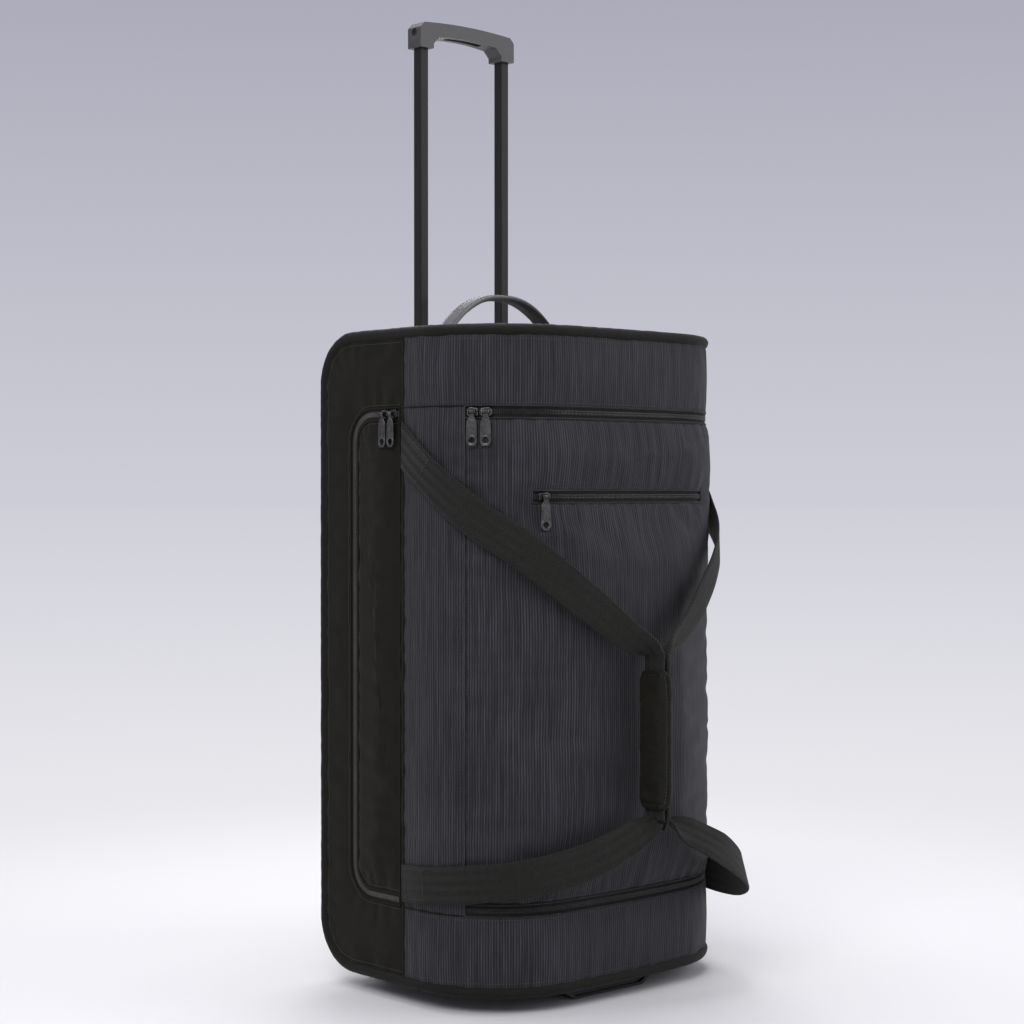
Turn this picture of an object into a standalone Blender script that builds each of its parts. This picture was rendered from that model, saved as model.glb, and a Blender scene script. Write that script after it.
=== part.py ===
"""A wheeled sports kit bag that stands on end, with a telescopic handle, hinged zip flaps and carry straps.

Frame: +X is the width, the opening faces -Y, the trolley handle and the wheels are at +Y, and +Z is up.
Fabric panels are drawn flat and then wrapped round the body, as they are when they are sewn.
"""

import math

import bmesh
import bpy
from mathutils import Matrix, Vector

# ---------------------------------------------------------------- driving dimensions, in metres
GAP = 0.0003  # between pieces that touch
RUNNING = 0.0005  # between pieces that slide or turn on each other

BODY_WIDTH = 0.395
BODY_DEPTH = 0.285
BODY_HEIGHT = 0.700
GROUND_CLEARANCE = 0.020
FRONT_CORNER_RADIUS = 0.115
FRONT_RADIUS = 1.2
BACK_CORNER_RADIUS = 0.055
WALL = 0.003

PIPING_RADIUS = 0.0065
PIPING_PROUD = 0.003

SEAM_Y = 0.0  # where the smooth side panels meet the ribbed front
HINGE_ANGLE = math.radians(30)  # the flap's seam, round the front corner from the side
ZIP_SLOT = 0.013
ZIP_THICK = 0.002
ZIP_RECESS = 0.001
ZIP_FROM_END = 0.083
ZIP_CORNER = 0.030

SIDE_ZIP_CORNER = 0.036
SIDE_ZIP_FROM_BACK = 0.052
SIDE_POCKET_DEPTH = 0.034
POUCH_WALL = 0.0015
POUCH_RIM = 0.006

POCKET_ZIP_LENGTH = 0.262
POCKET_ZIP_BELOW = 0.178  # from the top of the body
POCKET_DROP = 0.250
POCKET_DEPTH = 0.012
POCKET_OVER = 0.014  # how far the pouch reaches past its zip

SLIDER_LONG = 0.0125
SLIDER_WIDE = 0.009
SLIDER_THICK = 0.0034
SLIDER_SPACE = 0.0015  # between two parked sliders
PARKED_OFF = 0.002  # from the zip's start to a parked slider
CHEEK = 0.0012
CROSSBAR_RADIUS = 0.0010
KNUCKLE_RADIUS = 0.0025
KNUCKLE_LONG = 0.0046
PULL_LONG = 0.038
PULL_WIDE = 0.0118
PULL_THICK = 0.0014
PULL_HOLE = 0.0038

WEBBING = 0.040
WEBBING_THICK = 0.0024
STRAP_UPPER = 0.123  # from the top of the body to the upper anchor
STRAP_LOWER = 0.109  # from the underside to the lower anchor
STRAP_SHORT = 0.001  # the sewn ends stop this far in front of the seam
STRAP_FIRST_RUN = 0.040
STRAP_SPARE = 0.030
WRAP_LONG = 0.148
WRAP_UP = 0.263  # from the underside to the hand wrap's middle
WRAP_AHEAD = 0.044  # from the front of the body to the hand wrap's middle
WRAP_PAD = 0.005
FOLDED_WIDTH = 0.026  # the webbing is folded lengthwise inside the hand wrap
SLEEVE_PLY = 0.0014
SLEEVE_SHARE = 0.94  # of the wrap's length

CARRY_SPAN = 0.172
CARRY_RISE = 0.052
CARRY_WIDE = 0.026
CARRY_THICK = 0.005
CARRY_Y = 0.066
CARRY_TAB = 0.032  # the sewn-down length past each foot of the arch
CARRY_BEND = 0.006

TUBE_SPACING = 0.125
INNER_TUBE_X = 0.0115
INNER_TUBE_Y = 0.013
TUBE_WALL = 0.001
HANDLE_OUT = 0.338  # tube that shows between the bezel and the grip
TUBE_OVERLAP = 0.095
STOWED_CLEARANCE = 0.002
OUTER_TUBE_FOOT_Z = 0.125
TUBE_BLOCK_HIGH = 0.014
TUBE_BLOCK_PAST = 0.020  # past the middle of each tube
LOCK_PIN_RADIUS = 0.0022
LOCK_PIN_LONG = 0.006
LOCK_PIN_TRAVEL = 0.002
LOCK_PIN_UP = 0.020  # above the inner tube's lower end
PULL_ROD_RADIUS = 0.0015

GRIP_BLOCK = 0.020
GRIP_DEEP = 0.023
GRIP_HIGH = 0.029
GRIP_BAR = 0.015
GRIP_ARCH = 0.003
GRIP_SCREW_UP = 0.018
TUBE_IN_GRIP = 0.012
BUTTON_HALF = 0.027
BUTTON_PROUD = 0.002
BUTTON_TRAVEL = 0.004
LINK_DEEP = 0.008
LINK_THICK = 0.004

BEZEL_HALF = 0.092
BEZEL_FRONT_Y = 0.108
BEZEL_BELOW_CORNER = 0.002
BEZEL_PROUD = 0.003
BEZEL_ROUNDING = 0.020
BEZEL_SCREW_X = BEZEL_HALF - 0.012
BEZEL_SCREW_Y = BEZEL_FRONT_Y + 0.010

WHEEL_RADIUS = 0.0325
WHEEL_WIDE = 0.024
WHEEL_X = 0.114
WHEEL_Y = 0.112
TYRE = 0.0075
AXLE_RADIUS = 0.003
AXLE_HEAD = 0.0055
WELL_RADIUS = 0.0375
WELL_SIDE = 0.003
HOUSING_CHEEK = 0.006
HOUSING_FRONT_Y = 0.058
HOUSING_TOP = 0.078  # above the underside of the body

FOOT_TOP_HALF = 0.083
FOOT_BOTTOM_HALF = 0.052
FOOT_FRONT_Y = -0.113
FOOT_DEEP = 0.040
FOOT_LIP = 0.003
FOOT_RECESS = 0.004
SCREW_HEAD_RADIUS = 0.0042
SCREW_HEAD_THICK = 0.002

BOARD_FROM_SIDE = 0.0325
BOARD_THICK = 0.002

# ---------------------------------------------------------------- worked out from the above
BOTTOM = GROUND_CLEARANCE
TOP = BOTTOM + BODY_HEIGHT
MIDDLE_Z = (BOTTOM + TOP) / 2
BACK = BODY_DEPTH / 2
PIPING_INSET = PIPING_RADIUS - PIPING_PROUD
PANEL_EDGE = PIPING_INSET + PIPING_RADIUS + GAP

CORNER_X = BODY_WIDTH / 2 - FRONT_CORNER_RADIUS
FRONT_HALF_ANGLE = math.asin(CORNER_X / (FRONT_RADIUS - FRONT_CORNER_RADIUS))
FRONT_CENTRE_Y = -BODY_DEPTH / 2 + FRONT_RADIUS
CORNER_Y = FRONT_CENTRE_Y - (FRONT_RADIUS - FRONT_CORNER_RADIUS) * math.cos(FRONT_HALF_ANGLE)
FRONT_REACH = FRONT_RADIUS * FRONT_HALF_ANGLE
CORNER_REACH = FRONT_REACH + FRONT_CORNER_RADIUS * (math.pi / 2 - FRONT_HALF_ANGLE)
BACK_REACH = CORNER_REACH + BACK - CORNER_Y  # round the wall from the front's middle to the back edge

TUBE_Y = BACK - WALL - RUNNING - TUBE_WALL - RUNNING - INNER_TUBE_Y / 2
BEZEL_TOP = TOP + BEZEL_PROUD
BEZEL_DOWN = BACK_CORNER_RADIUS + BEZEL_BELOW_CORNER
GRIP_BOTTOM = TOP + HANDLE_OUT
STROKE = GRIP_BOTTOM - BEZEL_TOP - STOWED_CLEARANCE
INNER_TUBE_FOOT_Z = TOP - BEZEL_DOWN - TUBE_OVERLAP
LOCK_PIN_Z = INNER_TUBE_FOOT_Z + LOCK_PIN_UP
LINK_Z = GRIP_BOTTOM + GRIP_HIGH - GRIP_BAR + 0.0025

collection = None
root = None


# ---------------------------------------------------------------- scene helpers
def clear_scene():
    for obj in list(bpy.data.objects):
        bpy.data.objects.remove(obj, do_unlink=True)


def new_collection(name):
    made = bpy.data.collections.new(name)
    bpy.context.scene.collection.children.link(made)
    return made


def material(name, colour, roughness, metallic=0.0):
    made = bpy.data.materials.new(name)
    made.use_nodes = True
    shader = made.node_tree.nodes["Principled BSDF"]
    shader.inputs["Base Color"].default_value = (*colour, 1.0)
    shader.inputs["Roughness"].default_value = roughness
    shader.inputs["Metallic"].default_value = metallic
    return made


def empty(name, place, parent=None):
    made = bpy.data.objects.new(name, None)
    made.location = place
    made.empty_display_size = 0.02
    collection.objects.link(made)
    made.parent = parent or root
    return made


def add(name, mesh, look, place=None, parent=None, smooth=True):
    """One named sub-part. place is its matrix in the body's frame."""
    made = bpy.data.objects.new(name, mesh)
    collection.objects.link(made)
    mesh.materials.clear()
    mesh.materials.append(look)
    if smooth:
        mesh.shade_smooth()
        mesh.set_sharp_from_angle(angle=math.radians(35))
    parent = parent or root
    made.parent = parent
    place = place or Matrix.Identity(4)
    # Empties under the root carry no rotation, so taking off their place is enough.
    offset = parent.location if parent is not root else Vector()
    made.matrix_local = Matrix.Translation(-offset) @ place
    return made


def mesh_from(bm, name):
    bmesh.ops.recalc_face_normals(bm, faces=bm.faces)
    if bm.calc_volume(signed=True) < 0:
        bmesh.ops.reverse_faces(bm, faces=bm.faces)
    mesh = bpy.data.meshes.new(name)
    bm.to_mesh(mesh)
    bm.free()
    return mesh


def box(name, size, centre=(0, 0, 0), bevel=0.0, segments=2):
    bm = bmesh.new()
    bmesh.ops.create_cube(bm, size=1)
    bmesh.ops.scale(bm, vec=size, verts=bm.verts)
    bmesh.ops.translate(bm, vec=centre, verts=bm.verts)
    if bevel:
        bmesh.ops.bevel(bm, geom=bm.edges, offset=bevel, segments=segments, affect="EDGES", profile=0.5)
    return mesh_from(bm, name)


AXIS_TURN = {
    "X": Matrix.Rotation(math.pi / 2, 4, "Y"),
    "Y": Matrix.Rotation(math.pi / 2, 4, "X"),
    "Z": Matrix.Identity(4),
}


def cylinder(name, radius, length, axis="Z", centre=(0, 0, 0), sides=20):
    bm = bmesh.new()
    turn = Matrix.Translation(centre) @ AXIS_TURN[axis]
    bmesh.ops.create_cone(
        bm, cap_ends=True, segments=sides, radius1=radius, radius2=radius, depth=length, matrix=turn
    )
    return mesh_from(bm, name)


def turned(name, profile, axis="X", centre=(0, 0, 0), steps=32):
    """A profile of (radius, along) points turned into a closed ring or disc about an axis."""
    bm = bmesh.new()
    points = [bm.verts.new((radius, 0, along)) for radius, along in profile]
    edges = [bm.edges.new((points[i], points[(i + 1) % len(points)])) for i in range(len(points))]
    bmesh.ops.spin(
        bm,
        geom=points + edges,
        axis=(0, 0, 1),
        cent=(0, 0, 0),
        angle=math.tau,
        steps=steps,
        use_merge=True,
        use_duplicate=False,
    )
    bmesh.ops.remove_doubles(bm, verts=bm.verts, dist=1e-6)
    bmesh.ops.transform(bm, matrix=Matrix.Translation(centre) @ AXIS_TURN[axis], verts=bm.verts)
    return mesh_from(bm, name)


def combine(name, base, others, operation):
    """The base mesh with each other mesh joined to it or cut from it."""
    target = bpy.data.objects.new(name, base)
    cutters.objects.link(target)
    made = []
    for number, other in enumerate(others):
        helper = bpy.data.objects.new(f"{name}_tool_{number}", other)
        cutters.objects.link(helper)
        helper.display_type = "WIRE"
        modifier = target.modifiers.new(f"{operation}_{number}", "BOOLEAN")
        modifier.operation = operation
        modifier.solver = "EXACT"
        modifier.object = helper
        made.append(helper)
    graph = bpy.context.evaluated_depsgraph_get()
    result = bpy.data.meshes.new_from_object(target.evaluated_get(graph))
    for helper in made + [target]:
        bpy.data.objects.remove(helper, do_unlink=True)
    return result


def joined(name, base, *others):
    return combine(name, base, others, "UNION")


def cut(name, base, *others):
    return combine(name, base, others, "DIFFERENCE")


# ---------------------------------------------------------------- flat outlines
def rounded(corners, steps=5):
    """A closed outline through (u, v, radius) corners, each rounded by an arc."""
    points = []
    count = len(corners)
    for index, (u, v, radius) in enumerate(corners):
        here = Vector((u, v))
        if radius <= 0:
            points.append(here)
            continue
        before = (Vector(corners[index - 1][:2]) - here).normalized()
        after = (Vector(corners[(index + 1) % count][:2]) - here).normalized()
        half = before.angle(after) / 2
        reach = radius / math.tan(half)
        centre = here + (before + after).normalized() * (radius / math.sin(half))
        start = here + before * reach - centre
        sweep = start.angle_signed(here + after * reach - centre)
        for step in range(steps + 1):
            turn = Matrix.Rotation(-sweep * step / steps, 2)
            points.append(centre + turn @ start)
    return points


def flat_solid(name, outline, holes=(), low=0.0, high=WALL):
    """A flat outline with holes, as a closed solid between two heights."""
    curve = bpy.data.curves.new(name, "CURVE")
    curve.dimensions = "2D"
    curve.fill_mode = "BOTH"
    curve.extrude = (high - low) / 2
    for loop in (outline, *holes):
        spline = curve.splines.new("POLY")
        spline.points.add(len(loop) - 1)
        for point, (u, v) in zip(spline.points, loop):
            point.co = (u, v, 0, 1)
        spline.use_cyclic_u = True
    source = bpy.data.objects.new(name, curve)
    source.location = (0, 0, (low + high) / 2)
    cutters.objects.link(source)
    graph = bpy.context.evaluated_depsgraph_get()
    mesh = bpy.data.meshes.new_from_object(source.evaluated_get(graph))
    mesh.transform(Matrix.Translation(source.location))
    bpy.data.objects.remove(source, do_unlink=True)
    bm = bmesh.new()
    bm.from_mesh(mesh)
    bmesh.ops.remove_doubles(bm, verts=bm.verts, dist=1e-6)
    return mesh_from(bm, name)


def cut_across(bm, axis, places):
    normal = Vector((1, 0, 0)) if axis == 0 else Vector((0, 1, 0))
    for place in places:
        bmesh.ops.bisect_plane(
            bm,
            geom=bm.verts[:] + bm.edges[:] + bm.faces[:],
            dist=1e-6,
            plane_co=normal * place,
            plane_no=normal,
        )


def wrapped(mesh, axis, places, mapping):
    """The flat solid, cut across at each place where it bends, with its points moved by the mapping.

    Between two bends a layer stays flat, so that layers with different outlines lie on each other.
    """
    bm = bmesh.new()
    bm.from_mesh(mesh)
    cut_across(bm, axis, places)
    bmesh.ops.triangulate(bm, faces=bm.faces)
    for vert in bm.verts:
        before = [place for place in places if place <= vert.co[axis]]
        after = [place for place in places if place > vert.co[axis]]
        if not before or not after:
            vert.co = mapping(*vert.co)
            continue
        ends = []
        for place in (before[-1], after[0]):
            flat = vert.co.copy()
            flat[axis] = place
            ends.append(mapping(*flat))
        share = (vert.co[axis] - before[-1]) / (after[0] - before[-1])
        vert.co = ends[0].lerp(ends[1], share)
    return mesh_from(bm, mesh.name)


# ---------------------------------------------------------------- the wall round the front and sides
def wall_at(reach, inset):
    """Where the wall is, seen from above, at a reach round it from the middle of the front."""
    side = -1 if reach < 0 else 1
    reach = abs(reach)
    if reach <= FRONT_REACH:
        angle = reach / FRONT_RADIUS
        radius = FRONT_RADIUS - inset
        x = radius * math.sin(angle)
        y = FRONT_CENTRE_Y - radius * math.cos(angle)
    elif reach <= CORNER_REACH:
        angle = FRONT_HALF_ANGLE + (reach - FRONT_REACH) / FRONT_CORNER_RADIUS
        radius = FRONT_CORNER_RADIUS - inset
        x = CORNER_X + radius * math.sin(angle)
        y = CORNER_Y - radius * math.cos(angle)
    else:
        angle = math.pi / 2
        x = BODY_WIDTH / 2 - inset
        y = CORNER_Y + reach - CORNER_REACH
    return Vector((side * x, y)), side * angle


def on_wall(reach, z, inset):
    place, _ = wall_at(reach, inset)
    return Vector((place.x, place.y, z))


def wall_frame(reach, z, inset=0.0):
    """A frame on the wall: X along it, -Y outwards, Z up."""
    place, angle = wall_at(reach, inset)
    return Matrix.Translation((place.x, place.y, z)) @ Matrix.Rotation(angle, 4, "Z")


def wall_bends():
    places = [0.0]
    for step in range(1, 3):
        places.append(FRONT_REACH * step / 2)
    for step in range(1, 8):
        places.append(FRONT_REACH + (CORNER_REACH - FRONT_REACH) * step / 7)
    return sorted(places + [-place for place in places[1:]])


def wrap_on_wall(mesh):
    return wrapped(mesh, 0, wall_bends(), on_wall)


def reach_at_angle(angle_from_side):
    return CORNER_REACH - FRONT_CORNER_RADIUS * angle_from_side


def reach_at_y(y):
    return CORNER_REACH + y - CORNER_Y


# ---------------------------------------------------------------- the strip over the top, back and bottom
SPINE_STRAIGHT = BODY_HEIGHT / 2 - BACK_CORNER_RADIUS
SPINE_TURNED = SPINE_STRAIGHT + BACK_CORNER_RADIUS * math.pi / 2


def spine_at(along, inset):
    """(y, z) on the strip at a distance along it, up from the middle of the back."""
    side = -1 if along < 0 else 1
    along = abs(along)
    if along <= SPINE_STRAIGHT:
        y = BACK - inset
        z = along
    elif along <= SPINE_TURNED:
        angle = (along - SPINE_STRAIGHT) / BACK_CORNER_RADIUS
        y = BACK - BACK_CORNER_RADIUS + (BACK_CORNER_RADIUS - inset) * math.cos(angle)
        z = SPINE_STRAIGHT + (BACK_CORNER_RADIUS - inset) * math.sin(angle)
    else:
        y = BACK - BACK_CORNER_RADIUS - (along - SPINE_TURNED)
        z = BODY_HEIGHT / 2 - inset
    return y, MIDDLE_Z + side * z


def on_spine(x, along, inset):
    y, z = spine_at(along, inset)
    return Vector((x, y, z))


def spine_bends():
    places = [SPINE_STRAIGHT + (SPINE_TURNED - SPINE_STRAIGHT) * step / 6 for step in range(7)]
    return sorted(places + [-place for place in places])


def along_at_y(y):
    """How far along the strip a place on the top panel is."""
    return SPINE_TURNED + BACK - BACK_CORNER_RADIUS - y


def spine_hole(x_low, x_high, front_y, back_z):
    """A rectangular hole round a back corner, from front_y on the end panel to back_z from that end."""
    far = along_at_y(front_y)
    near = SPINE_STRAIGHT + BACK_CORNER_RADIUS - back_z
    return [Vector(p) for p in ((x_low, near), (x_high, near), (x_high, far), (x_low, far))]


# ---------------------------------------------------------------- body panels
def build_spine(look):
    end = []
    for reach in wall_bends():
        place, _ = wall_at(reach, PANEL_EDGE)
        end.append(Vector((place.x, along_at_y(place.y))))
    outline = end + [Vector((p.x, -p.y)) for p in reversed(end)]
    housing = WELL_SIDE + HOUSING_CHEEK + WHEEL_WIDE / 2 + GAP
    holes = [spine_hole(-BEZEL_HALF - GAP, BEZEL_HALF + GAP, BEZEL_FRONT_Y - GAP, BEZEL_DOWN + GAP)]
    for side in (-1, 1):
        middle = side * WHEEL_X
        hole = spine_hole(middle - housing, middle + housing, HOUSING_FRONT_Y - GAP, HOUSING_TOP + GAP)
        holes.append([Vector((p.x, -p.y)) for p in hole])
    panel = flat_solid("spine_panel", outline, holes)
    add("spine_panel", wrapped(panel, 1, spine_bends(), on_spine), look)


def side_outline(reach_low, reach_high):
    radius = BACK_CORNER_RADIUS - PANEL_EDGE
    low = BOTTOM + PANEL_EDGE
    high = TOP - PANEL_EDGE
    far = [(reach_high, low, radius), (reach_high, high, radius)]
    return rounded([(reach_low, low, 0), *far, (reach_low, high, 0)])


def three_sided(near, far, low, high, radius, outer, inner):
    """A band between two insets, round three sides of a rectangle that starts at the near edge."""
    sign = 1 if far > near else -1
    return rounded(
        [
            (near, low + outer, 0),
            (far - sign * outer, low + outer, radius - outer),
            (far - sign * outer, high - outer, radius - outer),
            (near, high - outer, 0),
            (near, high - inner, 0),
            (far - sign * inner, high - inner, radius - inner),
            (far - sign * inner, low + inner, radius - inner),
            (near, low + inner, 0),
        ]
    )


def three_edges(near, far, low, high, radius, inset):
    """A rectangle that starts at the near edge, inset and rounded at its far corners."""
    sign = 1 if far > near else -1
    return rounded(
        [
            (near, low + inset, 0),
            (far - sign * inset, low + inset, radius - inset),
            (far - sign * inset, high - inset, radius - inset),
            (near, high - inset, 0),
        ]
    )


HALF_ZIP = (ZIP_SLOT - RUNNING) / 2
ZIP_LOW = BOTTOM + ZIP_FROM_END
ZIP_HIGH = TOP - ZIP_FROM_END
HINGE_REACH = -reach_at_angle(HINGE_ANGLE)
FLAP_FAR = reach_at_angle(HINGE_ANGLE)
SEAM_REACH = reach_at_y(SEAM_Y)
SIDE_FAR = -reach_at_y(BACK - SIDE_ZIP_FROM_BACK)
SIDE_NEAR = -SEAM_REACH - POUCH_RIM


def build_zip(name, near, far, radius, fixed_look, parent):
    """The two halves of a zip round three sides of a flap: one on the body, one on the flap."""
    start = near + (GAP if far > near else -GAP)
    depth = (ZIP_RECESS, ZIP_RECESS + ZIP_THICK)
    fixed = three_sided(start, far, ZIP_LOW, ZIP_HIGH, radius, GAP, HALF_ZIP)
    moving = three_sided(start, far, ZIP_LOW, ZIP_HIGH, radius, ZIP_SLOT - HALF_ZIP, ZIP_SLOT - GAP)
    for half, outline, owner in (("body", fixed, root), ("flap", moving, parent)):
        solid = flat_solid(f"{name}_{half}_half", outline, low=depth[0], high=depth[1])
        add(f"{name}_{half}_half", wrap_on_wall(solid), fixed_look, parent=owner)


def pouch(name, corners, rim, low, depth, radius):
    """A shallow open tray that hangs behind an opening: its rim and its back."""
    (u0, v0), (u1, v1) = corners
    outer = rounded([(u0, v0, radius), (u1, v0, radius), (u1, v1, radius), (u0, v1, radius)])
    inner = rounded(
        [
            (u0 + rim, v0 + rim, radius - rim),
            (u1 - rim, v0 + rim, radius - rim),
            (u1 - rim, v1 - rim, radius - rim),
            (u0 + rim, v1 - rim, radius - rim),
        ]
    )
    tray = flat_solid(name, outer, low=low, high=low + depth)
    hollow = flat_solid(name + "_hollow", inner, low=low - depth, high=low + depth - POUCH_WALL)
    return wrap_on_wall(cut(name, tray, hollow))


def build_front(ribbed, zip_look, lining, flap):
    low = BOTTOM + PANEL_EDGE
    high = TOP - PANEL_EDGE
    edge = SEAM_REACH - GAP
    outline = [Vector(p) for p in ((-edge, low), (edge, low), (edge, high), (-edge, high))]
    opening = three_edges(HINGE_REACH - GAP, FLAP_FAR, ZIP_LOW, ZIP_HIGH, ZIP_CORNER, 0)
    panel = flat_solid("front_panel", outline, [opening])
    add("front_panel", wrap_on_wall(panel), ribbed)

    slot_z = TOP - POCKET_ZIP_BELOW
    half = POCKET_ZIP_LENGTH / 2
    slot = [(-half, slot_z - ZIP_SLOT / 2), (half, slot_z + ZIP_SLOT / 2)]
    (u0, v0), (u1, v1) = slot
    hole = [Vector(p) for p in ((u0, v0), (u1, v0), (u1, v1), (u0, v1))]
    cover = three_edges(HINGE_REACH + GAP, FLAP_FAR, ZIP_LOW, ZIP_HIGH, ZIP_CORNER, ZIP_SLOT)
    add("main_flap_panel", wrap_on_wall(flat_solid("main_flap_panel", cover, [hole])), ribbed, parent=flap)
    low, high = v0 + GAP, v1 - GAP
    near, far = u0 + GAP, u1 - GAP
    tape = [Vector(place) for place in ((near, low), (far, low), (far, high), (near, high))]
    strip = flat_solid("pocket_zip", tape, low=ZIP_RECESS, high=ZIP_RECESS + ZIP_THICK)
    add("pocket_zip", wrap_on_wall(strip), zip_look, parent=flap)
    corners = ((-half - POCKET_OVER, slot_z - POCKET_DROP), (half + POCKET_OVER, slot_z + POCKET_OVER))
    tray = pouch("flap_pocket_pouch", corners, POUCH_RIM, WALL + GAP, POCKET_DEPTH, 0.015)
    add("flap_pocket_pouch", tray, lining, parent=flap)
    build_zip("main_zip", HINGE_REACH, FLAP_FAR, ZIP_CORNER, zip_look, flap)


def build_sides(smooth_look, zip_look, lining, side_flap):
    far = reach_at_y(BACK) - PANEL_EDGE
    near = SEAM_REACH
    right = side_outline(near, far)
    add("side_panel_right", wrap_on_wall(flat_solid("side_panel_right", right)), smooth_look)

    left = side_outline(-near, -far)
    hinge = SIDE_NEAR
    opening = three_edges(hinge + GAP, SIDE_FAR, ZIP_LOW, ZIP_HIGH, SIDE_ZIP_CORNER, 0)
    add("side_panel_left", wrap_on_wall(flat_solid("side_panel_left", left, [opening])), smooth_look)
    cover = three_edges(hinge - GAP, SIDE_FAR, ZIP_LOW, ZIP_HIGH, SIDE_ZIP_CORNER, ZIP_SLOT)
    add("side_flap_panel", wrap_on_wall(flat_solid("side_flap_panel", cover)), smooth_look, parent=side_flap)
    build_zip("side_zip", hinge, SIDE_FAR, SIDE_ZIP_CORNER, zip_look, side_flap)
    corners = ((SIDE_FAR - POUCH_RIM, ZIP_LOW - POUCH_RIM), (hinge + POUCH_RIM, ZIP_HIGH + POUCH_RIM))
    tray = pouch("side_pocket_pouch", corners, POUCH_RIM, WALL + GAP, SIDE_POCKET_DEPTH, SIDE_ZIP_CORNER)
    add("side_pocket_pouch", tray, lining)


def piping_route():
    """The one loop of piping: round the top, down the back, round the bottom and up the other back edge."""
    def end_run(side):
        z = MIDDLE_Z + side * (BODY_HEIGHT / 2 - PIPING_INSET)
        stop = reach_at_y(BACK - BACK_CORNER_RADIUS)
        reaches = [-stop] + wall_bends() + [stop]
        return [on_wall(reach, z, PIPING_INSET) for reach in reaches]

    def back_corner(x, side):
        points = []
        for step in range(1, 7):
            along = SPINE_TURNED - (SPINE_TURNED - SPINE_STRAIGHT) * step / 6
            y, z = spine_at(side * along, PIPING_INSET)
            points.append(Vector((x, y, z)))
        return points

    x = BODY_WIDTH / 2 - PIPING_INSET
    route = end_run(1) + back_corner(x, 1)
    route += list(reversed(back_corner(x, -1)))
    route += list(reversed(end_run(-1)))
    route += back_corner(-x, -1) + list(reversed(back_corner(-x, 1)))
    return route


def tube_along(name, points, radius, resolution=2, closed=False):
    curve = bpy.data.curves.new(name, "CURVE")
    curve.dimensions = "3D"
    curve.bevel_depth = radius
    curve.bevel_resolution = resolution
    curve.use_fill_caps = not closed
    spline = curve.splines.new("POLY")
    spline.points.add(len(points) - 1)
    for point, place in zip(spline.points, points):
        point.co = (*place, 1)
    spline.use_cyclic_u = closed
    source = bpy.data.objects.new(name, curve)
    cutters.objects.link(source)
    graph = bpy.context.evaluated_depsgraph_get()
    mesh = bpy.data.meshes.new_from_object(source.evaluated_get(graph))
    bpy.data.objects.remove(source, do_unlink=True)
    bm = bmesh.new()
    bm.from_mesh(mesh)
    bmesh.ops.remove_doubles(bm, verts=bm.verts, dist=1e-6)
    return mesh_from(bm, name)


# ---------------------------------------------------------------- zip sliders and their pulls
CROSSBAR_OUT = SLIDER_THICK - ZIP_RECESS + GAP + KNUCKLE_RADIUS + RUNNING


def slider_mesh():
    """Its back lies just over the zip's teeth, and its crossbar stands outwards along -Y."""
    base = ZIP_RECESS - GAP
    body = box("slider", (SLIDER_LONG, SLIDER_THICK, SLIDER_WIDE), (0, base - SLIDER_THICK / 2, 0), 0.0008, 1)
    outer = -CROSSBAR_OUT - CROSSBAR_RADIUS - CHEEK / 2
    inner = base - SLIDER_THICK / 2
    cheeks = []
    for side in (-1, 1):
        x = side * (KNUCKLE_LONG / 2 + RUNNING + CHEEK / 2)
        size = (CHEEK, inner - outer, 2 * KNUCKLE_RADIUS)
        cheeks.append(box("cheek", size, (x, (inner + outer) / 2, 0)))
    length = KNUCKLE_LONG + 2 * RUNNING + CHEEK
    bar = cylinder("crossbar", CROSSBAR_RADIUS, length, "X", (0, -CROSSBAR_OUT, 0), 12)
    return joined("slider", body, *cheeks, bar)


def pull_mesh():
    """A tab that hangs from a knuckle whose axis is at its own origin."""
    half = PULL_WIDE / 2
    neck = KNUCKLE_LONG / 2
    end = -PULL_LONG + KNUCKLE_RADIUS
    outline = rounded(
        [(-neck, 0, 0), (neck, 0, 0), (neck, -0.004, 0), (half, -0.009, 0.002)]
        + [(half, end, half * 0.98), (-half, end, half * 0.98), (-half, -0.009, 0.002), (-neck, -0.004, 0)],
        4,
    )
    middle = Vector((0, end + half))
    angles = [math.tau * i / 14 for i in range(14)]
    hole = [middle + Vector((math.cos(angle), math.sin(angle))) * PULL_HOLE for angle in angles]
    plate = flat_solid("pull", outline, [hole], -PULL_THICK / 2, PULL_THICK / 2)
    plate.transform(Matrix.Rotation(math.pi / 2, 4, "X"))
    knuckle = cylinder("knuckle", KNUCKLE_RADIUS, KNUCKLE_LONG, "X", sides=16)
    bore = cylinder("bore", CROSSBAR_RADIUS + RUNNING * 0.7, KNUCKLE_LONG * 2, "X", sides=12)
    return cut("pull", joined("pull", plate, knuckle), bore)


def build_slider(name, frame, look, owner, axis_place, slider, pull):
    """A slider under an empty on its travel's axis, and its pull under an empty on the crossbar."""
    travel = empty(f"{name}_travel", axis_place, owner)
    travel.location = Vector(axis_place) - owner.location
    hinge_place = frame @ Vector((0, -CROSSBAR_OUT, 0))
    made = bpy.data.objects.new(f"{name}_slider", slider)
    collection.objects.link(made)
    made.parent = travel
    made.matrix_local = Matrix.Translation(-Vector(axis_place)) @ frame
    swing = bpy.data.objects.new(f"{name}_pull_swing", None)
    swing.empty_display_size = 0.01
    collection.objects.link(swing)
    swing.parent = travel
    turn = frame.to_3x3().to_4x4()
    swing.matrix_local = Matrix.Translation(hinge_place - Vector(axis_place)) @ turn
    tab = bpy.data.objects.new(f"{name}_pull", pull)
    collection.objects.link(tab)
    tab.parent = swing
    for mesh in (slider, pull):
        mesh.materials.clear()
        mesh.materials.append(look)


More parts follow.
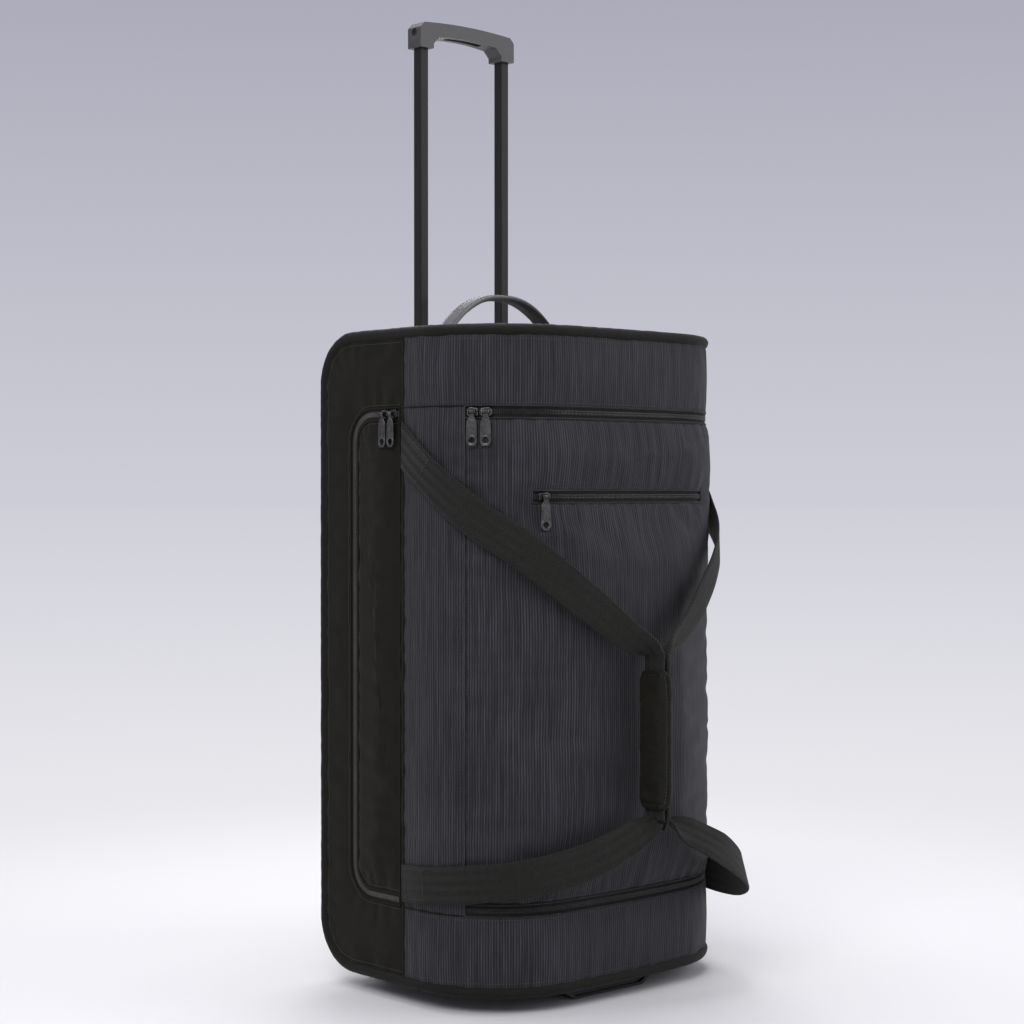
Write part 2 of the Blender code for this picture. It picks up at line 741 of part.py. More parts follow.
def build_sliders(look, flap, side_flap):
    slider = slider_mesh()
    pull = pull_mesh()
    pitch = max(SLIDER_LONG, PULL_WIDE) + SLIDER_SPACE
    top_z = ZIP_HIGH - ZIP_SLOT / 2
    corner_axis = (-CORNER_X, CORNER_Y, top_z)
    for number in (1, 2):
        reach = HINGE_REACH + PARKED_OFF + pitch * (number - 0.5)
        build_slider(f"main_{number}", wall_frame(reach, top_z), look, flap, corner_axis, slider, pull)
        reach = SIDE_NEAR - PARKED_OFF - pitch * (number - 0.5)
        frame = wall_frame(reach, top_z)
        build_slider(f"side_{number}", frame, look, side_flap, tuple(frame.translation), slider, pull)
    pocket_z = TOP - POCKET_ZIP_BELOW
    reach = -POCKET_ZIP_LENGTH / 2 + SLIDER_LONG
    corner_axis = (-CORNER_X, CORNER_Y, pocket_z)
    build_slider("pocket", wall_frame(reach, pocket_z), look, flap, corner_axis, slider, pull)


# ---------------------------------------------------------------- webbing straps, hand wrap and carry handle
def smooth_route(points, steps=4):
    """A smooth curve through hand-placed points: each is (place, outward direction, how far it is folded)."""
    result = []
    count = len(points)
    for index in range(count - 1):
        near = (max(index - 1, 0), index, index + 1, min(index + 2, count - 1))
        ends = [points[place] for place in near]
        for step in range(steps):
            t = step / steps
            weights = (
                (-t + 2 * t**2 - t**3) / 2,
                (2 - 5 * t**2 + 3 * t**3) / 2,
                (t + 4 * t**2 - 3 * t**3) / 2,
                (-(t**2) + t**3) / 2,
            )
            place = sum((w * Vector(e[0]) for w, e in zip(weights, ends)), Vector())
            out = Vector(points[index][1]).lerp(Vector(points[index + 1][1]), t)
            fold = points[index][2] * (1 - t) + points[index + 1][2] * t
            result.append((place, out.normalized(), fold))
    result.append((Vector(points[-1][0]), Vector(points[-1][1]).normalized(), points[-1][2]))
    return result


def ribbon(name, route, width, thick):
    """A closed band lofted along a route, with its face turned outwards."""
    bm = bmesh.new()
    rows = []
    for index, (place, out, fold) in enumerate(route):
        ahead = route[min(index + 1, len(route) - 1)][0] - route[max(index - 1, 0)][0]
        across = ahead.cross(out).normalized() * (width + (FOLDED_WIDTH - width) * fold) / 2
        lift = across.cross(ahead).normalized() * thick * (1 + fold) / 2
        corners = (across + lift, -across + lift, -across - lift, across - lift)
        rows.append([bm.verts.new(place + corner) for corner in corners])
    for row, following in zip(rows, rows[1:]):
        for i in range(4):
            j = (i + 1) % 4
            bm.faces.new((row[i], row[j], following[j], following[i]))
    bm.faces.new(rows[0])
    bm.faces.new(rows[-1])
    return mesh_from(bm, name)


STRAP_OFF = GAP + WEBBING_THICK
UPPER_ANCHOR_Z = TOP - STRAP_UPPER
LOWER_ANCHOR_Z = BOTTOM + STRAP_LOWER
WRAP_MIDDLE_Z = BOTTOM + WRAP_UP
SIDE_X = BODY_WIDTH / 2
FRONT_Y = -BODY_DEPTH / 2
WRAP_TOP = WRAP_MIDDLE_Z + WRAP_LONG / 2
WRAP_FOOT = WRAP_MIDDLE_Z - WRAP_LONG / 2
WRAP_Y = FRONT_Y - WRAP_AHEAD
STRAP_APART = WEBBING_THICK + SLEEVE_PLY + 2 * GAP  # from the wrap's middle to each folded strap


def beside_wall(side, reach, z, off, out, fold=0.0):
    """A point of a strap's route, off the wall by a distance, with the way its face looks."""
    return (tuple(on_wall(side * reach, z, -off)), (side * out[0], out[1], out[2]), fold)


def anchored(side, z, next_z):
    """The strap's sewn end on the side seam, with a spare point behind it that is cut off along the seam."""
    x = side * (SIDE_X + STRAP_OFF)
    behind_z = z + (z - next_z) * STRAP_SPARE / STRAP_FIRST_RUN
    return [
        ((x, SEAM_Y - STRAP_SHORT + STRAP_SPARE, behind_z), (side, 0, 0), 0),
        ((x, SEAM_Y - STRAP_SHORT, z), (side, 0, 0), 0),
        ((x + side * 0.001, SEAM_Y - STRAP_SHORT - STRAP_FIRST_RUN, next_z), (side, 0, 0), 0),
    ]


def upper_run(side):
    """From the anchor on the side seam, taut across the front, into the top of the hand wrap."""
    x = side * STRAP_APART
    return anchored(side, UPPER_ANCHOR_Z, UPPER_ANCHOR_Z - 0.031) + [
        beside_wall(side, reach_at_angle(math.radians(34)), UPPER_ANCHOR_Z - 0.074, 0.007, (0.86, -0.5, 0)),
        beside_wall(side, reach_at_angle(math.radians(61)), UPPER_ANCHOR_Z - 0.114, 0.0183, (0.62, -0.78, 0)),
        ((side * 0.089, WRAP_Y + 0.0165, WRAP_TOP + 0.075), (side * 0.45, -0.9, 0), 0.1),
        ((side * 0.042, WRAP_Y + 0.0045, WRAP_TOP + 0.039), (side * 0.65, -0.75, 0), 0.5),
        ((x + side * 0.004, WRAP_Y, WRAP_TOP + 0.020), (side, -0.1, 0), 0.95),
        ((x, WRAP_Y, WRAP_TOP + 0.003), (side, 0, 0), 1),
        ((x, WRAP_Y, WRAP_MIDDLE_Z), (side, 0, 0), 1),
        ((x, WRAP_Y, WRAP_FOOT - 0.003), (side, 0, 0), 1),
        ((x + side * 0.004, WRAP_Y, WRAP_FOOT - 0.014), (side, -0.1, 0), 0.95),
    ]


def left_strap_route():
    """From the upper anchor, down through the hand wrap, and slack back to the lower anchor."""
    return upper_run(-1) + [
        ((-0.042, WRAP_Y + 0.0025, WRAP_FOOT - 0.029), (-0.6, -0.8, 0), 0.4),
        ((-0.089, WRAP_Y + 0.0145, WRAP_FOOT - 0.048), (-0.4, -0.92, 0), 0.05),
        beside_wall(-1, reach_at_angle(math.radians(61)), LOWER_ANCHOR_Z + 0.017, 0.0195, (0.62, -0.78, 0)),
        beside_wall(-1, reach_at_angle(math.radians(34)), LOWER_ANCHOR_Z + 0.009, 0.009, (0.86, -0.5, 0)),
    ] + list(reversed(anchored(-1, LOWER_ANCHOR_Z, LOWER_ANCHOR_Z + 0.003)))


def right_strap_route():
    """As the left one, but its lower run droops out past the corner of the body."""
    return upper_run(1) + [
        ((0.042, WRAP_Y - 0.0095, WRAP_FOOT - 0.029), (0.6, -0.8, 0), 0.4),
        ((0.089, WRAP_Y - 0.0155, WRAP_FOOT - 0.053), (0.5, -0.85, 0.1), 0.05),
        beside_wall(1, reach_at_angle(math.radians(68)), LOWER_ANCHOR_Z - 0.004, 0.054, (0.72, -0.66, 0.2)),
        beside_wall(1, reach_at_angle(math.radians(44)), LOWER_ANCHOR_Z - 0.026, 0.032, (0.95, -0.3, 0.1)),
        ((SIDE_X + 0.0075, SEAM_Y - 0.058, LOWER_ANCHOR_Z - 0.025), (1, 0, 0), 0),
        ((SIDE_X + STRAP_OFF, SEAM_Y - STRAP_SHORT, LOWER_ANCHOR_Z), (1, 0, 0), 0),
        ((SIDE_X + STRAP_OFF, SEAM_Y - STRAP_SHORT + STRAP_SPARE, LOWER_ANCHOR_Z + 0.010), (1, 0, 0), 0),
    ]


def ended_at_seam(name, mesh):
    """The webbing cut off along the side seams, where it is sewn in."""
    bm = bmesh.new()
    bm.from_mesh(mesh)
    parts = bm.verts[:] + bm.edges[:] + bm.faces[:]
    seam = Vector((0, SEAM_Y - STRAP_SHORT, 0))
    bmesh.ops.bisect_plane(bm, geom=parts, dist=1e-7, plane_co=seam, plane_no=(0, 1, 0), clear_outer=True)
    rims = [edge for edge in bm.edges if edge.is_boundary]
    bmesh.ops.holes_fill(bm, edges=rims)
    bmesh.ops.triangulate(bm, faces=bm.faces)
    return mesh_from(bm, name)


def build_straps(webbing, padding, left, right):
    straps = (("strap_left", left_strap_route(), left), ("strap_right", right_strap_route(), right))
    for name, route, owner in straps:
        band = ribbon(name, smooth_route(route), WEBBING, WEBBING_THICK)
        add(name, ended_at_seam(name, band), webbing, parent=owner)
    folded_thick = 2 * WEBBING_THICK + 2 * GAP
    folded_width = FOLDED_WIDTH + 2 * GAP
    # The padded wrap is a C round the left strap, open towards the other one.
    deep = folded_width / 2 + WRAP_PAD
    out = STRAP_APART + folded_thick / 2 + WRAP_PAD
    outer = rounded([(-out, -deep, WRAP_PAD), (0, -deep, 0), (0, deep, 0), (-out, deep, WRAP_PAD)])
    shell = flat_solid("hand_wrap", outer, low=-WRAP_LONG / 2, high=WRAP_LONG / 2)
    hollow = box("hollow", (2 * (out - WRAP_PAD), folded_width, WRAP_LONG * 2))
    wrap = cut("hand_wrap", shell, hollow)
    add("hand_wrap", wrap, padding, Matrix.Translation((0, WRAP_Y, WRAP_MIDDLE_Z)), parent=left)
    # The plain sleeve is a flat tube sewn round the right strap.
    size = (folded_thick + 2 * SLEEVE_PLY, folded_width + 2 * SLEEVE_PLY, WRAP_LONG * SLEEVE_SHARE)
    inside = box("inside", (folded_thick, folded_width, WRAP_LONG * 2))
    place = Matrix.Translation((STRAP_APART, WRAP_Y, WRAP_MIDDLE_Z))
    add("strap_sleeve", cut("strap_sleeve", box("strap_sleeve", size), inside), webbing, place, parent=right)


def build_carry_handle(look):
    """A padded strap that stands as a low arch on the top panel, with its sewn-down ends lying flat."""
    half = CARRY_SPAN / 2
    foot = TOP + GAP + CARRY_THICK / 2
    route = []
    for step in range(-10, 11):
        t = step / 10
        x = half * t
        z = foot + (CARRY_RISE - CARRY_THICK) * (1 - abs(t) ** 2.4)
        slope = -2.4 * (CARRY_RISE - CARRY_THICK) * abs(t) ** 1.4 * math.copysign(1, t) / half
        route.append((Vector((x, CARRY_Y, z)), Vector((-slope, 0, 1)).normalized(), 0))
    up = Vector((0, 0, 1))
    flat = [(Vector((half + out, CARRY_Y, foot)), up, 0) for out in (CARRY_BEND, CARRY_TAB)]
    other = [(Vector((-place.x, place.y, place.z)), up, 0) for place, _, _ in reversed(flat)]
    band = ribbon("carry_handle", other + route + flat, CARRY_WIDE, CARRY_THICK)
    add("carry_handle", band, look)


# ---------------------------------------------------------------- trolley
def side_block(name, corners, half_width, x=0.0):
    """A block drawn in side view, as (y, z) corners, and as wide as it is given along X."""
    solid = flat_solid(name, rounded(corners, 6), low=-half_width, high=half_width)
    solid.transform(Matrix(((0, 0, 1, x), (1, 0, 0, 0), (0, 1, 0, 0), (0, 0, 0, 1))))
    return solid


def rect_tube(name, size_x, size_y, wall, low, high):
    outer = box(name, (size_x, size_y, high - low), (0, 0, (high + low) / 2), 0)
    bore = (size_x - 2 * wall, size_y - 2 * wall, high - low + 0.02)
    inner = box(name + "_bore", bore, (0, 0, (high + low) / 2))
    return cut(name, outer, inner)


def build_trolley(plastic, metal, dark, handle, release, pins, screw_look):
    outer_x = INNER_TUBE_X + 2 * (RUNNING + TUBE_WALL)
    outer_y = INNER_TUBE_Y + 2 * (RUNNING + TUBE_WALL)
    bezel_low = TOP - BEZEL_DOWN
    corners = [
        (BEZEL_FRONT_Y, bezel_low, 0),
        (BACK + BEZEL_PROUD, bezel_low, 0),
        (BACK + BEZEL_PROUD, BEZEL_TOP, BEZEL_ROUNDING),
        (BEZEL_FRONT_Y, BEZEL_TOP, 0.004),
    ]
    bezel = side_block("handle_bezel", corners, BEZEL_HALF)
    slots = []
    for side in (-1, 1):
        size = (INNER_TUBE_X + 2 * RUNNING, INNER_TUBE_Y + 2 * RUNNING, 4 * BEZEL_DOWN)
        slots.append(box("slot", size, (side * TUBE_SPACING / 2, TUBE_Y, bezel_low)))
        place = (side * BEZEL_SCREW_X, BEZEL_SCREW_Y, BEZEL_TOP)
        slots.append(cylinder("seat", SCREW_HEAD_RADIUS + GAP, 2 * (SCREW_HEAD_THICK + GAP), "Z", place))
    add("handle_bezel", cut("handle_bezel", bezel, *slots), plastic)

    for side, word in ((-1, "left"), (1, "right")):
        x = side * TUBE_SPACING / 2
        place = Matrix.Translation((x, TUBE_Y, 0))
        tube = rect_tube("outer", outer_x, outer_y, TUBE_WALL, OUTER_TUBE_FOOT_Z, bezel_low - GAP)
        reach = side * outer_x / 2
        holes = []
        for z in (LOCK_PIN_Z, LOCK_PIN_Z - STROKE):
            holes.append(cylinder("hole", LOCK_PIN_RADIUS + RUNNING, 3 * TUBE_WALL, "X", (reach, 0, z), 14))
        add(f"outer_tube_{word}", cut("outer", tube, *holes), metal, place)
        top = GRIP_BOTTOM + TUBE_IN_GRIP
        inner = rect_tube("inner", INNER_TUBE_X, INNER_TUBE_Y, TUBE_WALL, INNER_TUBE_FOOT_Z, top)
        reach = side * INNER_TUBE_X / 2
        hole = cylinder("hole", LOCK_PIN_RADIUS + RUNNING, 3 * TUBE_WALL, "X", (reach, 0, LOCK_PIN_Z), 14)
        add(f"inner_tube_{word}", cut("inner", inner, hole), metal, place, parent=handle)
        low = LOCK_PIN_Z + LOCK_PIN_RADIUS + RUNNING + BUTTON_TRAVEL
        length = LINK_Z + BUTTON_TRAVEL - GAP - low
        rod = cylinder("rod", PULL_ROD_RADIUS, length, "Z", (0, 0, low + length / 2), 10)
        add(f"pull_rod_{word}", rod, metal, place, parent=release)
        end = side * (outer_x / 2 - GAP - LOCK_PIN_LONG / 2 - LOCK_PIN_TRAVEL)
        pin = cylinder("pin", LOCK_PIN_RADIUS, LOCK_PIN_LONG, "X", (end, 0, LOCK_PIN_Z), 12)
        add(f"lock_pin_{word}", pin, metal, place, parent=pins[word])
        seat = Matrix.Translation((side * BEZEL_SCREW_X, BEZEL_SCREW_Y, BEZEL_TOP - SCREW_HEAD_THICK))
        head = cylinder("head", SCREW_HEAD_RADIUS, SCREW_HEAD_THICK, "Z", (0, 0, SCREW_HEAD_THICK / 2))
        add(f"bezel_screw_{word}", head, screw_look, seat)

    size = (TUBE_SPACING + 2 * TUBE_BLOCK_PAST, outer_y, TUBE_BLOCK_HIGH)
    centre = (0, TUBE_Y, OUTER_TUBE_FOOT_Z - GAP - TUBE_BLOCK_HIGH / 2)
    add("tube_foot_block", box("tube_foot_block", size, centre, 0.002), plastic)


def build_grip(plastic, button_look, handle, release, screw_look):
    half = TUBE_SPACING / 2 + GRIP_BLOCK / 2
    inner = TUBE_SPACING / 2 - GRIP_BLOCK / 2
    low = GRIP_BOTTOM
    top = low + GRIP_HIGH
    under = top - GRIP_BAR
    upper = []
    for step in range(13):
        t = -1 + step / 6
        upper.append((t * (half - 0.006), top + GRIP_ARCH * (1 - t * t), 0))
    lower = []
    for step in range(7):
        t = 1 - step / 3
        lower.append((t * (inner - 0.008), under + GRIP_ARCH * (1 - t * t), 0))
    corners = (
        [(-half, low, 0.001), (-half, top - 0.006, 0.003)]
        + upper
        + [(half, top - 0.006, 0.003), (half, low, 0.001), (inner, low, 0.001), (inner, under - 0.008, 0.003)]
        + lower
        + [(-inner, under - 0.008, 0.003), (-inner, low, 0.001)]
    )
    outline = rounded(list(reversed(corners)), 3)
    solid = flat_solid("grip", outline, low=-GRIP_DEEP / 2, high=GRIP_DEEP / 2)
    solid.transform(Matrix.Rotation(math.pi / 2, 4, "X"))
    channel_high = LINK_THICK + BUTTON_TRAVEL + 2 * RUNNING
    channel_half = TUBE_SPACING / 2 + PULL_ROD_RADIUS + 2 * RUNNING
    size = (2 * channel_half, LINK_DEEP + 2 * RUNNING, channel_high)
    tools = [box("channel", size, (0, 0, LINK_Z - RUNNING + channel_high / 2))]
    pocket = (2 * (BUTTON_HALF + RUNNING), LINK_DEEP + 2 * RUNNING, 0.030)
    tools.append(box("pocket", pocket, (0, 0, LINK_Z + 0.001 - 0.015)))
    for side in (-1, 1):
        x = side * TUBE_SPACING / 2
        socket = (INNER_TUBE_X + 2 * GAP, INNER_TUBE_Y + 2 * GAP, 2 * (TUBE_IN_GRIP + GAP))
        tools.append(box("socket", socket, (x, 0, low)))
        bore = cylinder("bore", PULL_ROD_RADIUS + RUNNING, 0.02, "Z", (x, 0, LINK_Z), 12)
        tools.append(bore)
        spot = (side * half, 0, low + GRIP_SCREW_UP)
        seat = cylinder("seat", SCREW_HEAD_RADIUS + GAP, 2 * SCREW_HEAD_THICK, "X", spot)
        tools.append(seat)
    place = Matrix.Translation((0, TUBE_Y, 0))
    grip = cut("grip", solid, *tools)
    add("grip", grip, plastic, place, parent=handle)
    for side, word in ((-1, "left"), (1, "right")):
        centre = (side * (half - SCREW_HEAD_THICK / 2 - GAP), 0, low + GRIP_SCREW_UP)
        head = cylinder("head", SCREW_HEAD_RADIUS, SCREW_HEAD_THICK - 2 * GAP, "X", centre)
        add(f"grip_screw_{word}", head, screw_look, place, parent=handle)

    link_half = TUBE_SPACING / 2 + PULL_ROD_RADIUS
    button_low = under + GRIP_ARCH - BUTTON_PROUD
    link_top = LINK_Z + LINK_THICK
    shape = [
        (-BUTTON_HALF, button_low, 0.001),
        (BUTTON_HALF, button_low, 0.001),
        (BUTTON_HALF, LINK_Z, 0),
        (link_half, LINK_Z, 0),
        (link_half, link_top, 0),
        (-link_half, link_top, 0),
        (-link_half, LINK_Z, 0),
        (-BUTTON_HALF, LINK_Z, 0),
    ]
    button = flat_solid("button", rounded(shape, 3), low=-LINK_DEEP / 2, high=LINK_DEEP / 2)
    button.transform(Matrix.Rotation(math.pi / 2, 4, "X"))
    squeezed = Matrix.Translation((0, TUBE_Y, BUTTON_TRAVEL))
    add("release_button", button, button_look, squeezed, parent=release)


# ---------------------------------------------------------------- wheels, foot and back board
def build_wheels(plastic, rubber, hub_look, metal, wheels):
    z = WHEEL_RADIUS
    inside = WHEEL_WIDE / 2 + WELL_SIDE
    housing_half = inside + HOUSING_CHEEK
    for side, word in ((-1, "left"), (1, "right")):
        x = side * WHEEL_X
        corners = [
            (HOUSING_FRONT_Y, BOTTOM, 0.004),
            (BACK, BOTTOM, BACK_CORNER_RADIUS),
            (BACK, BOTTOM + HOUSING_TOP, 0.004),
            (HOUSING_FRONT_Y, BOTTOM + HOUSING_TOP, 0.025),
        ]
        block = side_block("housing", corners, housing_half, x)
        centre = (x, WHEEL_Y, z)
        well = cylinder("well", WELL_RADIUS, 2 * inside, "X", centre, 32)
        hole = cylinder("hole", AXLE_RADIUS + GAP, 3 * housing_half, "X", centre, 16)
        add(f"wheel_housing_{word}", cut("housing", block, well, hole), plastic)
        length = 2 * housing_half - 0.002
        axle = cylinder("axle", AXLE_RADIUS, length, "X", centre, 16)
        add(f"axle_{word}", axle, metal)
        half = WHEEL_WIDE / 2
        rim = WHEEL_RADIUS - TYRE
        bore = AXLE_RADIUS + GAP
        profile = [(bore, -half), (rim, -half * 0.86), (rim, half * 0.86), (bore, half)]
        hub = turned("hub", profile, "X", centre)
        ring = [(rim + GAP, -half * 0.9), (WHEEL_RADIUS - 0.003, -half), (WHEEL_RADIUS, -half * 0.6)]
        ring += [(WHEEL_RADIUS, half * 0.6), (WHEEL_RADIUS - 0.003, half), (rim + GAP, half * 0.9)]
        add(f"wheel_hub_{word}", hub, hub_look, parent=wheels[word])
        add(f"tyre_{word}", turned("tyre", ring, "X", centre), rubber, parent=wheels[word])


def build_foot(plastic, screw_look):
    outline = rounded(
        [
            (-FOOT_BOTTOM_HALF, 0, 0.004),
            (FOOT_BOTTOM_HALF, 0, 0.004),
            (FOOT_TOP_HALF, BOTTOM - GAP, 0),
            (-FOOT_TOP_HALF, BOTTOM - GAP, 0),
        ]
    )
    bar = flat_solid("foot", outline, low=0, high=FOOT_DEEP)
    bar.transform(Matrix.Translation((0, FOOT_FRONT_Y + FOOT_DEEP, 0)) @ Matrix.Rotation(math.pi / 2, 4, "X"))
    top = BOTTOM - FOOT_LIP
    slope = (FOOT_TOP_HALF - FOOT_BOTTOM_HALF) / BOTTOM
    low_half = FOOT_BOTTOM_HALF + slope * FOOT_LIP - FOOT_LIP * 2
    face = [(-low_half, FOOT_LIP), (low_half, FOOT_LIP), (low_half + slope * (top - FOOT_LIP), top)]
    face.append((-face[2][0], top))
    recess = flat_solid("recess", [Vector(p) for p in face], low=0, high=2 * FOOT_RECESS)
    place = Matrix.Translation((0, FOOT_FRONT_Y + FOOT_RECESS, 0)) @ Matrix.Rotation(math.pi / 2, 4, "X")
    recess.transform(place)
    seats = []
    y = FOOT_FRONT_Y + FOOT_DEEP * 0.6
    for side in (-1, 1):
        spot = (side * FOOT_BOTTOM_HALF * 0.6, y, 0)
        seats.append(cylinder("seat", SCREW_HEAD_RADIUS + GAP, 2 * (SCREW_HEAD_THICK + 0.002), "Z", spot))
    add("foot_bar", cut("foot", bar, recess, *seats), plastic)
    for side, word in ((-1, "left"), (1, "right")):
        spot = (side * FOOT_BOTTOM_HALF * 0.6, y, 0.002 - GAP + SCREW_HEAD_THICK / 2)
        head = cylinder("head", SCREW_HEAD_RADIUS, SCREW_HEAD_THICK, "Z", spot)
        add(f"foot_screw_{word}", head, screw_look)


def build_board(look):
    y = TUBE_Y - INNER_TUBE_Y / 2 - 2 * RUNNING - TUBE_WALL - BOARD_THICK / 2
    low = BOTTOM + HOUSING_TOP + 0.002
    high = TOP - BEZEL_DOWN - 0.002
    size = (BODY_WIDTH - 2 * BOARD_FROM_SIDE, BOARD_THICK, high - low)
    add("back_board", box("back_board", size, (0, y, (low + high) / 2)), look)


# ---------------------------------------------------------------- everything together
def stand_on_origin():
    """Moves the whole bag so that the middle of its footprint box is at the origin, on the ground."""
    bpy.context.view_layer.update()
    corners = []
    for obj in collection.objects:
        if obj.type == "MESH":
            corners += [obj.matrix_world @ Vector(corner) for corner in obj.bound_box]
    low = [min(c[axis] for c in corners) for axis in range(3)]
    high = [max(c[axis] for c in corners) for axis in range(3)]
    root.location = (-(low[0] + high[0]) / 2, -(low[1] + high[1]) / 2, -low[2])
    bpy.context.view_layer.update()


clear_scene()
collection = new_collection("wheeled_kit_bag")
cutters = new_collection("cutters")
cutters.hide_render = True
root = bpy.data.objects.new("bag_root", None)
collection.objects.link(root)

ribbed_fabric = material("ribbed_fabric", (0.030, 0.030, 0.035), 0.62)
smooth_fabric = material("smooth_fabric", (0.014, 0.013, 0.011), 0.75)
piping_cord = material("piping", (0.010, 0.010, 0.008), 0.7)
zip_tape = material("zip_tape", (0.012, 0.011, 0.010), 0.6)
lining_cloth = material("lining", (0.05, 0.05, 0.052), 0.85)
webbing_cloth = material("webbing", (0.022, 0.022, 0.020), 0.7)
padding_cloth = material("padding", (0.011, 0.010, 0.008), 0.7)
slider_metal = material("slider_metal", (0.10, 0.10, 0.10), 0.35, 0.9)
tube_metal = material("tube_metal", (0.013, 0.012, 0.010), 0.38, 0.2)
grip_plastic = material("grip_plastic", (0.09, 0.09, 0.09), 0.45)
base_plastic = material("base_plastic", (0.014, 0.014, 0.013), 0.4)
button_plastic = material("button_plastic", (0.04, 0.04, 0.04), 0.4)
handle_cloth = material("carry_handle_cloth", (0.12, 0.12, 0.12), 0.6)
tyre_rubber = material("tyre_rubber", (0.015, 0.015, 0.015), 0.8)
hub_plastic = material("hub_plastic", (0.06, 0.06, 0.06), 0.45)
axle_steel = material("axle_steel", (0.45, 0.45, 0.45), 0.3, 1.0)
screw_steel = material("screw_steel", (0.05, 0.05, 0.05), 0.4, 0.8)
board_plastic = material("board_plastic", (0.02, 0.02, 0.02), 0.6)

hinge_place = on_wall(HINGE_REACH, MIDDLE_Z, 0)
main_flap_hinge = empty("main_flap_hinge", hinge_place)
side_flap_hinge = empty("side_flap_hinge", on_wall(SIDE_NEAR, MIDDLE_Z, 0))
strap_left_swing = empty("strap_left_swing", (-SIDE_X - STRAP_OFF, SEAM_Y - STRAP_SHORT, MIDDLE_Z))
strap_right_swing = empty("strap_right_swing", (SIDE_X + STRAP_OFF, SEAM_Y - STRAP_SHORT, MIDDLE_Z))
trolley_slide = empty("trolley_slide", (0, TUBE_Y, GRIP_BOTTOM))
release_slide = empty("release_slide", (0, TUBE_Y, LINK_Z))
pin_slides = {}
wheel_spins = {}
for sign, side_word in ((-1, "left"), (1, "right")):
    pin_place = (sign * TUBE_SPACING / 2, TUBE_Y, LOCK_PIN_Z)
    pin_slides[side_word] = empty(f"lock_pin_{side_word}_slide", pin_place)
    wheel_spins[side_word] = empty(f"wheel_{side_word}_spin", (sign * WHEEL_X, WHEEL_Y, WHEEL_RADIUS))

build_spine(smooth_fabric)
build_front(ribbed_fabric, zip_tape, lining_cloth, main_flap_hinge)
build_sides(smooth_fabric, zip_tape, lining_cloth, side_flap_hinge)
add("edge_piping", tube_along("edge_piping", piping_route(), PIPING_RADIUS, closed=True), piping_cord)
build_sliders(slider_metal, main_flap_hinge, side_flap_hinge)
build_straps(webbing_cloth, padding_cloth, strap_left_swing, strap_right_swing)
build_carry_handle(handle_cloth)
build_trolley(base_plastic, tube_metal, base_plastic, trolley_slide, release_slide, pin_slides, screw_steel)
build_grip(grip_plastic, button_plastic, trolley_slide, release_slide, screw_steel)
build_wheels(base_plastic, tyre_rubber, hub_plastic, axle_steel, wheel_spins)
build_foot(base_plastic, screw_steel)
build_board(board_plastic)
stand_on_origin()
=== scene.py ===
"""Looks for the wheeled sports kit bag: sewn fabric, zips, webbing, hardware, light and camera.

Shapes are worked out in the bag's own frame, with its middle at x = y = 0, and moved to where the CAD stands.
Fabric panels are drawn flat, with u round the wall and v up it, and then wrapped round the body.
"""

import math

import bmesh
import bpy
import numpy as np
from mathutils import Matrix, Vector, noise
from mathutils.bvhtree import BVHTree


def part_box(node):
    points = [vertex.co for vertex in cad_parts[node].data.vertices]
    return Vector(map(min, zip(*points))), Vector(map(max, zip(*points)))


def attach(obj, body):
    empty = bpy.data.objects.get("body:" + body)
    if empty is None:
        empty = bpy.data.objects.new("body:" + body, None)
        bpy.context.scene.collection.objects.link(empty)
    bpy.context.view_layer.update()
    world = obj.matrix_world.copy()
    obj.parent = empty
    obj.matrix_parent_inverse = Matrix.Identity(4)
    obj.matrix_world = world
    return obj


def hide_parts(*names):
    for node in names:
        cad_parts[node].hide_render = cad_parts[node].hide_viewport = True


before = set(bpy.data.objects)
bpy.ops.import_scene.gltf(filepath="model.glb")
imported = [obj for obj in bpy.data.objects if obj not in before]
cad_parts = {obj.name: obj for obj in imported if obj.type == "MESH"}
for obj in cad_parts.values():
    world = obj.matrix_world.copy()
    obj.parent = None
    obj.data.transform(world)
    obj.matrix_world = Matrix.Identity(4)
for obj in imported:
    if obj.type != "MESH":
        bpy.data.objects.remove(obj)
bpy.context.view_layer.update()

# ---------------------------------------------------------------- sizes, in metres
PIPING_RADIUS = 0.0065
PIPING_PROUD = 0.003
PIPING_INSET = PIPING_RADIUS - PIPING_PROUD
FRONT_CORNER_RADIUS = 0.115
FRONT_RADIUS = 1.2
BACK_CORNER_RADIUS = 0.055
TUCK = 0.006  # how far a panel's edge reaches into the piping
PANEL_EDGE = PIPING_INSET + PIPING_RADIUS - TUCK
CLOTH = 0.0022
GAP = 0.0003

piping_low, piping_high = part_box("edge_piping")
WIDTH = piping_high.x - piping_low.x - 2 * PIPING_PROUD
DEPTH = piping_high.y - piping_low.y - 2 * PIPING_PROUD
BOTTOM = piping_low.z + PIPING_PROUD
TOP = piping_high.z - PIPING_PROUD
HEIGHT = TOP - BOTTOM
MIDDLE_Z = (TOP + BOTTOM) / 2
BACK = DEPTH / 2
PLACE = Vector(((piping_low.x + piping_high.x) / 2, (piping_low.y + piping_high.y) / 2, 0))

CORNER_X = WIDTH / 2 - FRONT_CORNER_RADIUS
FRONT_HALF_ANGLE = math.asin(CORNER_X / (FRONT_RADIUS - FRONT_CORNER_RADIUS))
FRONT_CENTRE_Y = -DEPTH / 2 + FRONT_RADIUS
CORNER_Y = FRONT_CENTRE_Y - (FRONT_RADIUS - FRONT_CORNER_RADIUS) * math.cos(FRONT_HALF_ANGLE)
FRONT_REACH = FRONT_RADIUS * FRONT_HALF_ANGLE
CORNER_REACH = FRONT_REACH + FRONT_CORNER_RADIUS * (math.pi / 2 - FRONT_HALF_ANGLE)

